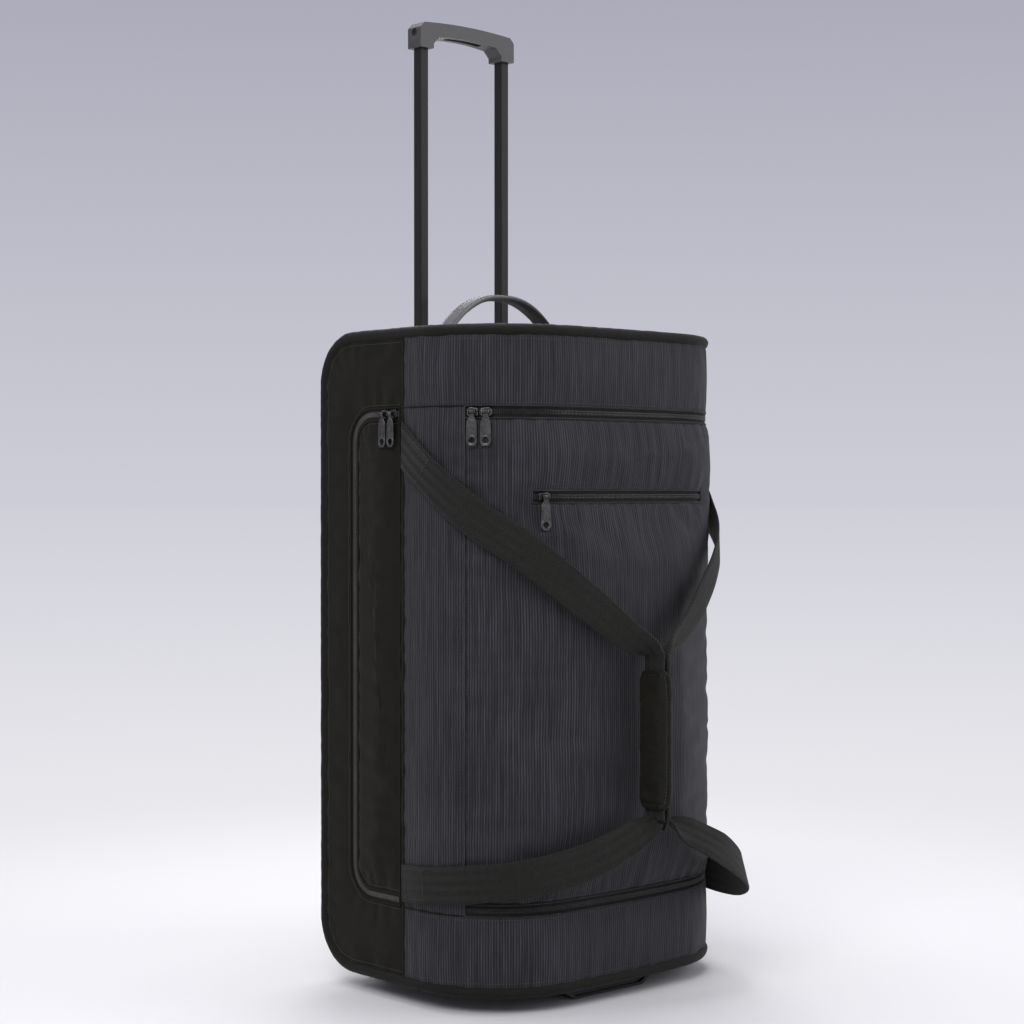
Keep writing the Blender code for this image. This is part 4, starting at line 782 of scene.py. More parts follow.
def build_panels():
    """The sewn panels, each with a tree to lay stitches on it."""
    trees = {}
    low, high = BOTTOM + PANEL_EDGE, TOP - PANEL_EDGE
    edge = SEAM_REACH + 0.0002
    outline = box_corners(-edge, edge, low, high)
    opening = three_edges(HINGE_REACH, FLAP_FAR, ZIP_LOW, ZIP_HIGH, ZIP_CORNER, 0)
    joins = [
        [Vector((seam, v)), Vector((end, v))]
        for seam, end in ((-SEAM_REACH, HINGE_REACH), (SEAM_REACH, FLAP_FAR))
        for v in (ZIP_LOW, ZIP_HIGH)
    ]
    trees["front"] = skin(
        "front_fabric", outline, [opening], on_wall, "bag", "front_panel", (RIBBED, LINING),
        swell=0.0026, pucker=0.0009, wavelength=0.021, sewn=(outline, opening, *joins),
    )
    slot = box_corners(-POCKET_HALF, POCKET_HALF, POCKET_Z - ZIP_SLOT / 2, POCKET_Z + ZIP_SLOT / 2)
    cover = three_edges(HINGE_REACH + GAP, FLAP_FAR, ZIP_LOW, ZIP_HIGH, ZIP_CORNER, ZIP_SLOT)
    trees["flap"] = skin(
        "flap_fabric", cover, [slot], on_wall, "main_flap", "main_flap_panel", (RIBBED, LINING),
        swell=0.0055, pucker=0.0011, wavelength=0.017, cloth=1.6, slack=0.014,
    )
    radius = BACK_CORNER_RADIUS - PANEL_EDGE
    side_opening = three_edges(SIDE_NEAR + GAP, SIDE_FAR, ZIP_LOW, ZIP_HIGH, SIDE_ZIP_CORNER, 0)
    for side, word, holes, cloth in ((-1, "left", [side_opening], 0.0), (1, "right", [], 0.9)):
        far = side * (BACK_REACH - PANEL_EDGE)
        near = side * SEAM_REACH
        corners = [(near, low, 0), (far, low, radius), (far, high, radius), (near, high, 0)]
        trees[word] = skin(
            f"side_fabric_{word}", rounded(corners), holes, on_wall, "bag", f"side_panel_{word}",
            (SMOOTH, LINING), swell=0.0028, pucker=0.0009, wavelength=0.026, cloth=cloth,
        )
    cover = three_edges(SIDE_NEAR - GAP, SIDE_FAR, ZIP_LOW, ZIP_HIGH, SIDE_ZIP_CORNER, ZIP_SLOT)
    trees["side_flap"] = skin(
        "side_flap_fabric", cover, [], on_wall, "side_flap", "side_flap_panel", (SMOOTH, LINING),
        swell=0.0030, pucker=0.0010, wavelength=0.020, cloth=1.0, slack=0.014,
    )

    end = []
    count = 48
    for number in range(count + 1):
        place, _ = wall_at(-SEAM_REACH + 2 * SEAM_REACH * number / count, PANEL_EDGE)
        end.append(Vector((place.x, along_at_y(place.y))))
    outline = end + [Vector((p.x, -p.y)) for p in reversed(end)]
    low_box, high_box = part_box("handle_bezel")
    holes = [spine_hole(low_box, high_box, TOP - low_box.z)]
    for word in ("left", "right"):
        low_box, high_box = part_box(f"wheel_housing_{word}")
        holes.append([Vector((p.x, -p.y)) for p in spine_hole(low_box, high_box, high_box.z - BOTTOM)])
    trees["spine"] = skin(
        "spine_fabric", outline, holes, on_spine, "bag", "spine_panel", (SMOOTH, LINING),
        swell=0.0016, wavelength=0.024, step=0.009,
    )
    return trees


def build_pouches():
    """The lining pouches that hang behind the two pocket openings, each open at its face."""
    margin, side_margin = 0.014, 0.006
    flap_box = (-POCKET_HALF - margin, POCKET_HALF + margin, POCKET_Z - 0.250, POCKET_Z + margin)
    side_box = (SIDE_FAR - side_margin, SIDE_NEAR + side_margin, ZIP_LOW - side_margin, ZIP_HIGH + side_margin)
    for name, box, depth, radius, body, node in (
        ("flap_pocket_lining", flap_box, 0.0115, 0.015, "main_flap", "flap_pocket_pouch"),
        ("side_pocket_lining", side_box, 0.033, SIDE_ZIP_CORNER, "bag", "side_pocket_pouch"),
    ):
        outline = rounded([(*p, radius) for p in box_corners(*box)])

        def hung(u, v, inset):
            away, _ = near_edges(np.array([[u, v]]), [outline])
            share = min(away[0] / min(depth, 0.014), 1.0)
            sink = depth * share * share * (3 - 2 * share)
            return on_wall(u, v, inset + CLOTH + 0.0008 + sink)

        skin(name, outline, [], hung, body, node, (LINING, LINING), swell=-0.0004, pucker=0.0007, step=0.008)


def build_piping():
    """The cord round the top and bottom and up the back edges, in its wrapping of cloth."""
    stop = BACK_REACH - BACK_CORNER_RADIUS

    def end_run(side):
        z = MIDDLE_Z + side * (HEIGHT / 2 - PIPING_INSET)
        count = int(2 * stop / 0.0035)
        return [on_wall(-stop + 2 * stop * i / count, z, PIPING_INSET)[0] for i in range(count + 1)]

    x = WIDTH / 2 - PIPING_INSET
    reach = SPINE_TURNED

    def back_edge(x):
        count = int(2 * reach / 0.0035)
        return [on_spine(x, reach - 2 * reach * i / count, PIPING_INSET)[0] for i in range(1, count)]

    route = end_run(1) + back_edge(x) + list(reversed(end_run(-1))) + list(reversed(back_edge(-x)))
    rows = tube_rows(route, PIPING_RADIUS, 16, closed=True, rough=0.00035)
    mesh = loft("piping_cord", rows, closed=True)
    show("piping_cord", mesh, "bag", PIPING, slot="piping", replaces=["edge_piping"])


# ---------------------------------------------------------------- zips and seams
COIL_APART = 0.00125  # each row of teeth stands this far from the zip's middle
STITCHES_IN = 0.0032  # a row of stitches runs this far from the zip's slot


def cord(name, line, body, look, radius=0.0011, depth=0.0002, rough=0.0002, seed=0.0):
    """A thin roll of cloth along a flat line wrapped round the wall."""
    points = [p for p, _ in rail_on(line, on_wall, depth)]
    mesh = loft(name, tube_rows(points, radius, 8, rough=rough, seed=seed))
    show(name, mesh, body, look, slot="piping")


def teeth(name, line, body, coil):
    repeated(name, [rail_on(line, on_wall, ZIP_FACE)], body, TOOTH, TOOTH_PITCH, coil, "zip_tape", lift=0.0002)


def pocket_frame(gap):
    """The line round the pocket zip's slot, at a distance from it."""
    u, v = POCKET_HALF + gap, ZIP_SLOT / 2 + gap
    corners = [tuple(p) for p in box_corners(-u, u, POCKET_Z - v, POCKET_Z + v)]
    return corners + corners[:1]


def build_zips(trees):
    for name, near, far, radius, flap, around, coil, look in (
        ("main_zip", HINGE_REACH, FLAP_FAR, ZIP_CORNER, "main_flap", "front", DARK_COIL, RIBBED),
        ("side_zip", SIDE_NEAR, SIDE_FAR, SIDE_ZIP_CORNER, "side_flap", "left", COIL, SMOOTH),
    ):

        def line(inset):
            return three_edges(near, far, ZIP_LOW, ZIP_HIGH, radius, inset)

        inner = trees["flap" if flap == "main_flap" else flap]
        for word, offset, owner in (("body", -COIL_APART, "bag"), ("flap", COIL_APART, flap)):
            teeth(f"{name}_{word}_teeth", line(ZIP_SLOT / 2 + offset), owner, coil)
        for word, inset, owner, tree in (
            ("outer", -STITCHES_IN, "bag", trees[around]),
            ("inner", ZIP_SLOT + STITCHES_IN, flap, inner),
        ):
            stitches(f"{name}_{word}_stitches", [rail_on(line(inset), on_wall, 0, tree)], owner)
        for word, inset, owner in (("outer", 0.0, "bag"), ("inner", ZIP_SLOT, flap)):
            cord(f"{name}_{word}_lip", line(inset), owner, look, rough=0.00015, seed=3.0)
        for half in ("body", "flap"):
            dress(f"{name}_{half}_half", TAPE)
    dress("pocket_zip", TAPE)
    for word, across in (("upper", COIL_APART), ("lower", -COIL_APART)):
        half, v = POCKET_HALF - 0.001, POCKET_Z + across
        teeth(f"pocket_{word}_teeth", [(-half, v), (half, v)], "main_flap", DARK_COIL)
    stitches("pocket_stitches", [rail_on(pocket_frame(0.0026), on_wall, 0, trees["flap"])], "main_flap")
    cord("pocket_lip", pocket_frame(0.0), "main_flap", RIBBED, radius=0.0010, rough=0.00012)


def build_seams(trees):
    """The rolls of cloth along the seams and joins, and the rows of stitches beside them."""
    for name, reach, low, high, look in (
        ("hinge_seam", HINGE_REACH, ZIP_LOW, ZIP_HIGH, RIBBED),
        ("side_hinge_seam", SIDE_NEAR, ZIP_LOW, ZIP_HIGH, SMOOTH),
        ("left_seam", -SEAM_REACH, BOTTOM + 0.006, TOP - 0.006, SMOOTH),
        ("right_seam", SEAM_REACH, BOTTOM + 0.006, TOP - 0.006, SMOOTH),
    ):
        cord(name, [(reach, low), (reach, high)], "bag", look, radius=0.0013, depth=0.0004, seed=7.0)
    hinge_off = 0.0045
    beside = HINGE_REACH - hinge_off
    lines = [[(beside, ZIP_LOW), (beside, ZIP_HIGH)]]
    for side in (-1, 1):
        reach = side * (SEAM_REACH - 0.004)
        lines.append([(reach, BOTTOM + 0.014), (reach, TOP - 0.014)])
    for side, end in ((-1, "left"), (1, "right")):
        for v in (ZIP_LOW - 0.0040, ZIP_HIGH + 0.0040):
            lines.append([(side * (SEAM_REACH - 0.003), v), (-side * HINGE_REACH, v)])
        for v, word in ((ZIP_LOW, "low"), (ZIP_HIGH, "high")):
            line = [(side * SEAM_REACH, v), (-side * HINGE_REACH, v)]
            cord(f"zip_line_{word}_{end}", line, "bag", SMOOTH, depth=0.0003, seed=5.0)
    stitches("seam_stitches", [rail_on(line, on_wall, 0, trees["front"]) for line in lines], "bag")
    beside = HINGE_REACH + hinge_off
    line = [(beside, ZIP_LOW + 0.018), (beside, ZIP_HIGH - 0.018)]
    stitches("hinge_stitches", [rail_on(line, on_wall, 0, trees["flap"])], "main_flap")
    edge = PIPING_INSET + PIPING_RADIUS + 0.0030
    low, high = BOTTOM + edge, TOP - edge
    rows = []
    for v in (low, high):
        line = [(-SEAM_REACH + 0.002, v), (SEAM_REACH - 0.002, v)]
        rows.append(rail_on(line, on_wall, 0, trees["front"]))
    stitches("front_edge_stitches", rows, "bag")
    radius = BACK_CORNER_RADIUS - edge
    for side, word in ((-1, "left"), (1, "right")):
        near, far = side * (SEAM_REACH + 0.002), side * (BACK_REACH - edge)
        corners = [(near, low, 0), (far, low, radius), (far, high, radius), (near, high, 0)]
        stitches(f"{word}_edge_stitches", [rail_on(rounded(corners), on_wall, 0, trees[word])], "bag")


# ---------------------------------------------------------------- sliders and pulls
SLIDER_LONG = 0.0125
SLIDER_WIDE = 0.009
PULL_LONG = 0.038
PULL_WIDE = 0.0118
KNUCKLE_RADIUS = 0.0025
CROSSBAR_OUT = 0.0034 - ZIP_FACE + GAP + KNUCKLE_RADIUS + 0.0005


def merged(*meshes):
    """One mesh of several."""
    bm = bmesh.new()
    for mesh in meshes:
        bm.from_mesh(mesh)
    made = bpy.data.meshes.new("merged")
    bm.to_mesh(made)
    bm.free()
    return made


def bar_shape(low, high, half, radius, steps=4):
    """A flat bar from low to high, twice half wide, with rounded corners."""
    corners = ((low, -half), (high, -half), (high, half), (low, half))
    return rounded([(*corner, radius) for corner in corners], steps)


def slider_mesh():
    """The upper plate, its raised bridge and the crossbar that the pull hangs on."""
    long, wide = SLIDER_LONG / 2 - 0.0005, SLIDER_WIDE / 2
    outline = rounded(
        [(-long, -wide * 0.72, 0.0012), (long * 0.55, -wide, 0.002), (long, -wide * 0.55, 0.0012)]
        + [(long, wide * 0.55, 0.0012), (long * 0.55, wide, 0.002), (-long, wide * 0.72, 0.0012)],
        4,
    )
    plate = filled(outline, (), 0.0017, 0.0005)
    plate.transform(Matrix.Translation((0, 0, 0.0014)))
    tongue = filled(bar_shape(-long * 0.9, long * 0.8, 0.0016, 0.0006, steps=3), (), 0.0012, 0.0004)
    tongue.transform(Matrix.Translation((0, 0, 0.0024)))
    cheeks = []
    reach = CROSSBAR_OUT + 0.0014
    shape = rounded([(-0.0026, 0, 0), (0.0026, 0, 0), (0.0017, reach, 0.0014), (-0.0017, reach, 0.0014)], 4)
    for side in (-1, 1):
        cheek = filled(shape, (), 0.0011, 0.0003)
        cheek.transform(Matrix(((0, 0, 1, side * 0.0033), (1, 0, 0, 0), (0, 1, 0, 0.001), (0, 0, 0, 1))))
        cheeks.append(cheek)
    bar = [Vector((x, 0, CROSSBAR_OUT)) for x in (-0.0036, -0.0012, 0.0012, 0.0036)]
    rod = loft("rod", tube_rows(bar, 0.0010, 12))
    made = merged(plate, tongue, *cheeks, rod)
    made.transform(Matrix.Rotation(math.pi / 2, 4, "X"))
    return made


def pull_mesh():
    """A long tab with a thumb hole low down, a stiffening rib above it and a knuckle at its top."""
    half = PULL_WIDE / 2
    end = -PULL_LONG + KNUCKLE_RADIUS
    neck = 0.0023
    right = [(neck, 0.0005, 0), (neck, -0.0045, 0.001), (half * 0.86, -0.0105, 0.004), (half, end, half * 0.98)]
    outline = rounded([(-neck, 0.0005, 0), *right, *[(-u, v, r) for u, v, r in reversed(right[1:])]], 8)
    middle = Vector((0, end + half))
    plate = filled(outline, [[middle + p for p in circle(0.0036, 28)]], 0.0014, 0.0004)
    rib_shape = [(-0.0022, -0.0085, 0.001), (0.0022, -0.0085, 0.001)]
    rib_shape += [(0.0030, -0.0235, 0.0014), (-0.0030, -0.0235, 0.0014)]
    rib = filled(rounded(rib_shape, 5), (), 0.0020, 0.0004)
    ring = [(middle + p).to_3d() for p in circle(0.0046, 28)]
    parts = merged(plate, rib, loft("lip", tube_rows(ring, 0.00105, 8, closed=True), closed=True))
    parts.transform(Matrix.Rotation(math.pi / 2, 4, "X"))
    eye = [Vector((0, p.x, p.y)) for p in circle(KNUCKLE_RADIUS * 0.8, 16)]
    knuckle = loft("eye", tube_rows(eye, 0.0006, 8, closed=True), closed=True)
    copies = []
    for x in (-0.0016, -0.0005, 0.0005, 0.0016):
        copy = knuckle.copy()
        copy.transform(Matrix.Translation((x, 0, 0)))
        copies.append(copy)
    return merged(parts, *copies)


def build_hardware():
    """Each zip's sliders with their pulls, where the CAD has them."""
    pitch = max(SLIDER_LONG, PULL_WIDE) + 0.0015
    top_z = ZIP_HIGH - ZIP_SLOT / 2
    places = {"pocket": (-POCKET_HALF + SLIDER_LONG, POCKET_Z)}
    for number in (1, 2):
        places[f"main_{number}"] = (HINGE_REACH + 0.002 + pitch * (number - 0.5), top_z)
        places[f"side_{number}"] = (SIDE_NEAR - 0.002 - pitch * (number - 0.5), top_z)
    for name, (reach, z) in places.items():
        place, angle = wall_at(reach, 0)
        turn = Matrix.Translation((place.x, place.y, z)) @ Matrix.Rotation(angle, 4, "Z")
        slider = slider_mesh()
        if name.endswith("1") == (reach > SIDE_NEAR):
            slider.transform(Matrix.Rotation(math.pi, 4, "Y"))
        slider.transform(turn)
        pull = pull_mesh()
        pull.transform(turn @ Matrix.Translation((0, -CROSSBAR_OUT, 0)))
        for mesh, piece, owner, node in (
            (slider, "slider_body", "slider_body", "slider"),
            (pull, "pull_tab", "pull_body", "pull"),
        ):
            replaced = [f"{name}_{node}"]
            show(f"{name}_{piece}", mesh, f"{name}_{owner}", GUNMETAL, slot="slider_metal", replaces=replaced)


# ---------------------------------------------------------------- straps, wrap and handles
STRAP_WIDE = 0.040
STRAP_THICK = 0.0024
FOLDED_WIDE = 0.026
SIDE_X = WIDTH / 2
STRAP_OFF = GAP + STRAP_THICK
WRAP_Z = 0.283
WRAP_LONG = 0.148
WRAP_Y = -DEPTH / 2 - 0.044
SLEEVE_PLY = 0.0014
WRAP_CORNER = 0.013
WRAP_CORNER_DEEP = 0.0058
WRAP_LIP = -0.0004
WRAP_ROW = 0.0048
STRAP_APART = STRAP_THICK + SLEEVE_PLY + 2 * GAP
WRAP_TOP = WRAP_Z + WRAP_LONG / 2
WRAP_FOOT = WRAP_Z - WRAP_LONG / 2
UPPER_ANCHOR_Z = TOP - 0.123
LOWER_ANCHOR_Z = BOTTOM + 0.109
STRAP_END_Y = -0.001  # the sewn ends stop just in front of the seam
STRAP_FIRST_RUN = 0.040
STRAP_SPARE = 0.030


def beside_wall(side, degrees, z, off, out):
    """A point of a strap's route, off the wall by a distance, at an angle round the front corner."""
    reach = CORNER_REACH - FRONT_CORNER_RADIUS * math.radians(degrees)
    return (tuple(on_wall(side * reach, z, -off)[0]), (side * out[0], out[1], out[2]), 0)


def anchored(side, z, next_z):
    """The strap's sewn end on the side seam, with a spare point behind it that is cut off along the seam."""
    x = side * (SIDE_X + STRAP_OFF)
    behind_z = z + (z - next_z) * STRAP_SPARE / STRAP_FIRST_RUN
    return [
        ((x, STRAP_END_Y + STRAP_SPARE, behind_z), (side, 0, 0), 0),
        ((x, STRAP_END_Y, z), (side, 0, 0), 0),
        ((x + side * 0.001, STRAP_END_Y - STRAP_FIRST_RUN, next_z), (side, 0, 0), 0),
    ]


def upper_run(side):
    """A strap's route from its upper end on the seam, round the front corner and down through the wrap."""
    x = side * STRAP_APART
    return anchored(side, UPPER_ANCHOR_Z, UPPER_ANCHOR_Z - 0.031) + [
        beside_wall(side, 34, UPPER_ANCHOR_Z - 0.074, 0.007, (0.86, -0.5, 0)),
        beside_wall(side, 61, UPPER_ANCHOR_Z - 0.114, 0.0183, (0.62, -0.78, 0)),
        ((side * 0.089, WRAP_Y + 0.0165, WRAP_TOP + 0.075), (side * 0.45, -0.9, 0), 0.1),
        ((side * 0.042, WRAP_Y + 0.0045, WRAP_TOP + 0.039), (side * 0.65, -0.75, 0), 0.5),
        ((x + side * 0.004, WRAP_Y, WRAP_TOP + 0.020), (side, -0.1, 0), 0.95),
        ((x, WRAP_Y, WRAP_TOP + 0.003), (side, 0, 0), 1),
        ((x, WRAP_Y, WRAP_Z), (side, 0, 0), 1),
        ((x, WRAP_Y, WRAP_FOOT - 0.003), (side, 0, 0), 1),
        ((x + side * 0.004, WRAP_Y, WRAP_FOOT - 0.014), (side, -0.1, 0), 0.95),
    ]


def left_route():
    return upper_run(-1) + [
        ((-0.042, WRAP_Y + 0.0025, WRAP_FOOT - 0.029), (-0.6, -0.8, 0), 0.4),
        ((-0.089, WRAP_Y + 0.0145, WRAP_FOOT - 0.048), (-0.4, -0.92, 0), 0.05),
        beside_wall(-1, 61, LOWER_ANCHOR_Z + 0.017, 0.0195, (0.62, -0.78, 0)),
        beside_wall(-1, 34, LOWER_ANCHOR_Z + 0.009, 0.009, (0.86, -0.5, 0)),
    ] + list(reversed(anchored(-1, LOWER_ANCHOR_Z, LOWER_ANCHOR_Z + 0.003)))


def right_route():
    """Like the left strap's route, but its lower run bows out to the side, as in the photo."""
    x = SIDE_X + STRAP_OFF
    return upper_run(1) + [
        ((0.042, WRAP_Y - 0.0095, WRAP_FOOT - 0.029), (0.6, -0.8, 0), 0.4),
        ((0.089, WRAP_Y - 0.0155, WRAP_FOOT - 0.053), (0.5, -0.85, 0.1), 0.05),
        beside_wall(1, 68, LOWER_ANCHOR_Z - 0.004, 0.054, (0.72, -0.66, 0.2)),
        beside_wall(1, 44, LOWER_ANCHOR_Z - 0.026, 0.032, (0.95, -0.3, 0.1)),
        ((SIDE_X + 0.0075, -0.058, LOWER_ANCHOR_Z - 0.025), (1, 0, 0), 0),
        ((x, STRAP_END_Y, LOWER_ANCHOR_Z), (1, 0, 0), 0),
        ((x, STRAP_END_Y + STRAP_SPARE, LOWER_ANCHOR_Z + 0.010), (1, 0, 0), 0),
    ]


def ended_at_seam(mesh):
    """The webbing cut off along the side seams, where it is sewn in."""
    bm = bmesh.new()
    bm.from_mesh(mesh)
    parts = bm.verts[:] + bm.edges[:] + bm.faces[:]
    seam = Vector((0, STRAP_END_Y, 0))
    bmesh.ops.bisect_plane(bm, geom=parts, dist=1e-7, plane_co=seam, plane_no=(0, 1, 0), clear_outer=True)
    bmesh.ops.holes_fill(bm, edges=[edge for edge in bm.edges if edge.is_boundary])
    bm.to_mesh(mesh)
    bm.free()
    return mesh


def smooth_route(points, steps=12):
    """A smooth curve through listed points: each is (place, outward direction, how far it is folded)."""
    result = []
    count = len(points)
    for index in range(count - 1):
        ends = [points[max(index - 1, 0)], points[index], points[index + 1], points[min(index + 2, count - 1)]]
        for step in range(steps):
            t = step / steps
            weights = (
                (-t + 2 * t**2 - t**3) / 2,
                (2 - 5 * t**2 + 3 * t**3) / 2,
                (t + 4 * t**2 - 3 * t**3) / 2,
                (-(t**2) + t**3) / 2,
            )
            place = sum((w * Vector(e[0]) for w, e in zip(weights, ends)), Vector())
            out = Vector(points[index][1]).lerp(Vector(points[index + 1][1]), t)
            fold = points[index][2] * (1 - t) + points[index + 1][2] * t
            result.append((place, out.normalized(), fold))
    result.append((Vector(points[-1][0]), Vector(points[-1][1]).normalized(), points[-1][2]))
    return result


def band(name, route, wide, thick, folded, wobble):
    """A woven band along a route, with rounded edges, and narrower and thicker where it is folded."""
    rows, flat = [], []
    along = 0.0
    section = [(-1, 0), (-0.97, 0.75), (-0.9, 1), (-0.45, 1), (0, 1), (0.45, 1), (0.9, 1), (0.97, 0.75), (1, 0)]
    section += [(x, -y) for x, y in reversed(section[1:-1])]
    for index, (place, _, fold) in enumerate(route):
        if index:
            along += (place - route[index - 1][0]).length
        width = wide + (folded - wide) * fold
        across, lift = framed(route, index)
        row, line = [], []
        for x, y in section:
            sag = wobble * noise.noise(Vector((along * 30, x * 1.5, 4.0)))
            row.append(place + across * x * width / 2 + lift * (y * thick * (1 + fold) / 2 + sag))
            line.append((x * width / 2 + (0.001 if y < 0 else 0), along))
        rows.append(row)
        flat.append(line)
    return loft(name, rows, uv_rows=flat)


def framed(route, index):
    """The directions across and out of a band at a place of its route."""
    ahead = route[min(index + 1, len(route) - 1)][0] - route[max(index - 1, 0)][0]
    across = ahead.cross(route[index][1]).normalized()
    return across, across.cross(ahead).normalized()


def edge_rails(route, wide, thick, from_end, to_end, inset, ends=True):
    """Stitch rails near both edges of a band between two places along it, made a crossed box if asked."""
    along = 0.0
    left, right = [], []
    for index, (place, _, _) in enumerate(route):
        if index:
            along += (place - route[index - 1][0]).length
        if from_end <= along <= to_end:
            across, lift = framed(route, index)
            for rail, side in ((left, -1), (right, 1)):
                rail.append((place + across * side * (wide / 2 - inset) + lift * thick / 2, lift))
    rails = [left, right]
    if ends and len(right) > 2:
        rails += [[left[0], right[0]], [left[-1], right[-1]], [left[0], right[-1]], [left[-1], right[0]]]
    return [rail for rail in rails if len(rail) > 1]


def build_straps():
    in_from_edge = 0.004
    for name, route in (("strap_left", left_route()), ("strap_right", right_route())):
        body = f"{name}_body"
        curve = smooth_route(route)
        mesh = ended_at_seam(band(f"{name}_webbing", curve, STRAP_WIDE, STRAP_THICK, FOLDED_WIDE, 0.0005))
        show(f"{name}_webbing", mesh, body, WEBBING, slot="webbing", replaces=[name])
        sewn = [row for row in curve if row[0].y <= STRAP_END_Y]
        total = sum((b[0] - a[0]).length for a, b in zip(sewn, sewn[1:]))
        rails = []
        for start, stop in ((0.015, 0.046), (total - 0.040, total - 0.005)):
            rails += edge_rails(sewn, STRAP_WIDE, STRAP_THICK, start, stop, in_from_edge)
        stitches(f"{name}_stitches", rails, body)


def pad_section(out, deep, pad):
    """The C section of the padded wrap, seen from above, as a closed ring of points."""
    edge, edge_round = 0.0012, 0.0022
    corners = [(edge, -deep, edge_round), (edge, -deep + pad, edge_round), (-out + pad, -deep + pad, 0.0015)]
    corners += [(-out + pad, deep - pad, 0.0015), (edge, deep - pad, edge_round), (edge, deep, edge_round)]
    corners += [(-out, deep, 0.006), (-out, -deep, 0.006)]
    outline = [Vector(p) for p in rounded(corners, 4)]
    return dense(outline + outline[:1], 0.0028)[:-1]


def wrap_retreat(end):
    """How far the pad's free edge draws back at a length from its end, which rounds its corners."""
    left = max(WRAP_CORNER - end, 0) / WRAP_CORNER
    return WRAP_CORNER_DEEP * (1 - math.sqrt(max(1 - left**2, 0)))


def wrap_border(tree, out, deep, inset):
    """A closed line on the pad's outer face, this far inside its border, with the way out at each place."""
    high = WRAP_LONG / 2 - inset
    lip = WRAP_LIP - inset
    spots = []
    for side in (-1, 1):
        for number in range(61):
            z = side * high * (1 - number / 30)
            x = lip - wrap_retreat(high - abs(z)) + out / 2
            spots.append((math.atan2(side * deep, x) % math.tau, z))
        last = math.atan2(side * deep, lip - WRAP_CORNER_DEEP + out / 2) % math.tau
        other = math.tau - last
        spots += [(last + (other - last) * k / 20, -side * high) for k in range(1, 20)]
    line = []
    for angle, z in spots:
        way = Vector((math.cos(angle), math.sin(angle), 0))
        place = struck(tree, Vector((-out / 2, WRAP_Y, WRAP_Z + z)), way)
        if place:
            line.append((place, way))
    return line


def build_wrap():
    """The padded hand wrap: a C of cloth over foam, piped round its rounded border, with a row of stitches."""
    pad = 0.0050
    folded = 2 * STRAP_THICK + 2 * GAP
    deep = FOLDED_WIDE / 2 + GAP + pad
    out = STRAP_APART + folded / 2 + pad
    section = pad_section(out, deep, pad)
    rows = []
    count = 60
    for number in range(count + 1):
        t = number / count
        z = WRAP_Z - WRAP_LONG / 2 + WRAP_LONG * t
        end = min(t, 1 - t) * WRAP_LONG
        pinch = 1 - 0.0016 * math.exp(-end / 0.004) / 0.0060
        row = []
        for p in section:
            lip = min(max((p.x + out - pad) / (out - pad), 0), 1)
            x = -out / 2 + (p.x + out / 2) * pinch - wrap_retreat(end) * lip
            row.append(Vector((x, WRAP_Y + p.y * pinch, z)))
        rows.append(row)
    mesh = loft("hand_wrap_pad", rows)
    co = np.array([v.co for v in mesh.vertices])
    outer = (np.abs(co[:, 1] - WRAP_Y) > deep - 0.001) | (co[:, 0] < -out + 0.001)
    ends = np.minimum(co[:, 2] - co[:, 2].min(), co[:, 2].max() - co[:, 2])
    held = np.where(outer, 0.0, 1.0)
    held = np.maximum(held, np.clip(1.2 - ends / 0.005, 0, 1))
    co = settle_cloth(mesh, held, 16, 3.0, 0.03, limit=0.0022)
    from_row = np.minimum(np.abs(co[:, 0] - WRAP_LIP + WRAP_ROW), np.abs(ends - WRAP_ROW))
    crown, dent = 0.0008 * np.clip(from_row / 0.006, 0, 1), 0.0007 * np.exp(-((from_row / 0.0012) ** 2))
    swell = np.where(outer, crown - dent, 0)
    normals = np.array([v.normal for v in mesh.vertices])
    co = co + normals * swell[:, None]
    mesh.vertices.foreach_set("co", co.astype(np.float32).ravel())
    mesh = with_modifiers(mesh, ("SUBSURF", {"levels": 1, "render_levels": 1}))
    pad_piece = show("hand_wrap_pad", mesh, "strap_left_body", PADDING, slot="padding", replaces=["hand_wrap"])
    tree = tree_of(mesh)
    border = [place - way * 0.0008 for place, way in wrap_border(tree, out, deep, 0.0)]
    piping = loft("binding", tube_rows(border, 0.0022, 12, closed=True, rough=0.00015, seed=2.0), closed=True)
    show("hand_wrap_piping", piping, "strap_left_body", WEBBING, slot="padding")
    row = wrap_border(tree, out, deep, WRAP_ROW)
    stitches("hand_wrap_stitches", [row + row[:1]], "strap_left_body")
    build_sleeve(folded)


def build_sleeve(folded):
    """The plain sleeve round the other strap, open at its ends, with a hem and stitches at each."""
    x = STRAP_APART
    long = WRAP_LONG * 0.94
    half_x = folded / 2 + SLEEVE_PLY
    half_y = FOLDED_WIDE / 2 + GAP + SLEEVE_PLY
    outline = bar_shape(-half_x, half_x, half_y, 0.003)
    outer = dense(outline + outline[:1], 0.004)[:-1]
    rows = []
    count = 40
    for number in range(count + 1):
        z = WRAP_Z - long / 2 + long * number / count
        end = min(number, count - number) * long / count
        hem = 1.0 + 0.05 * math.exp(-((end - 0.004) ** 2) / 0.003**2)
        row = []
        for p in outer:
            ripple = 0.0003 * noise.noise(Vector((p.x * 60, p.y * 60, z * 70)))
            row.append(Vector((x + p.x * hem + ripple, WRAP_Y + p.y * hem, z)))
        rows.append(row)
    mesh = loft("sleeve_cloth", rows)
    show("sleeve_cloth", mesh, "strap_right_body", SLEEVE, slot="webbing", replaces=["strap_sleeve"])
    tree = tree_of(mesh)
    rails = []
    for z in [WRAP_Z - long / 2 + d for d in (0.005, 0.010)] + [WRAP_Z + long / 2 - d for d in (0.005, 0.010)]:
        rail = []
        for number in range(33):
            angle = math.tau * number / 32
            way = Vector((math.cos(angle), math.sin(angle), 0))
            place = struck(tree, Vector((x, WRAP_Y, z)), way, 0.04)
            if place:
                rail.append((place, way))
        rails.append(rail)
    stitches("sleeve_stitches", rails, "strap_right_body")


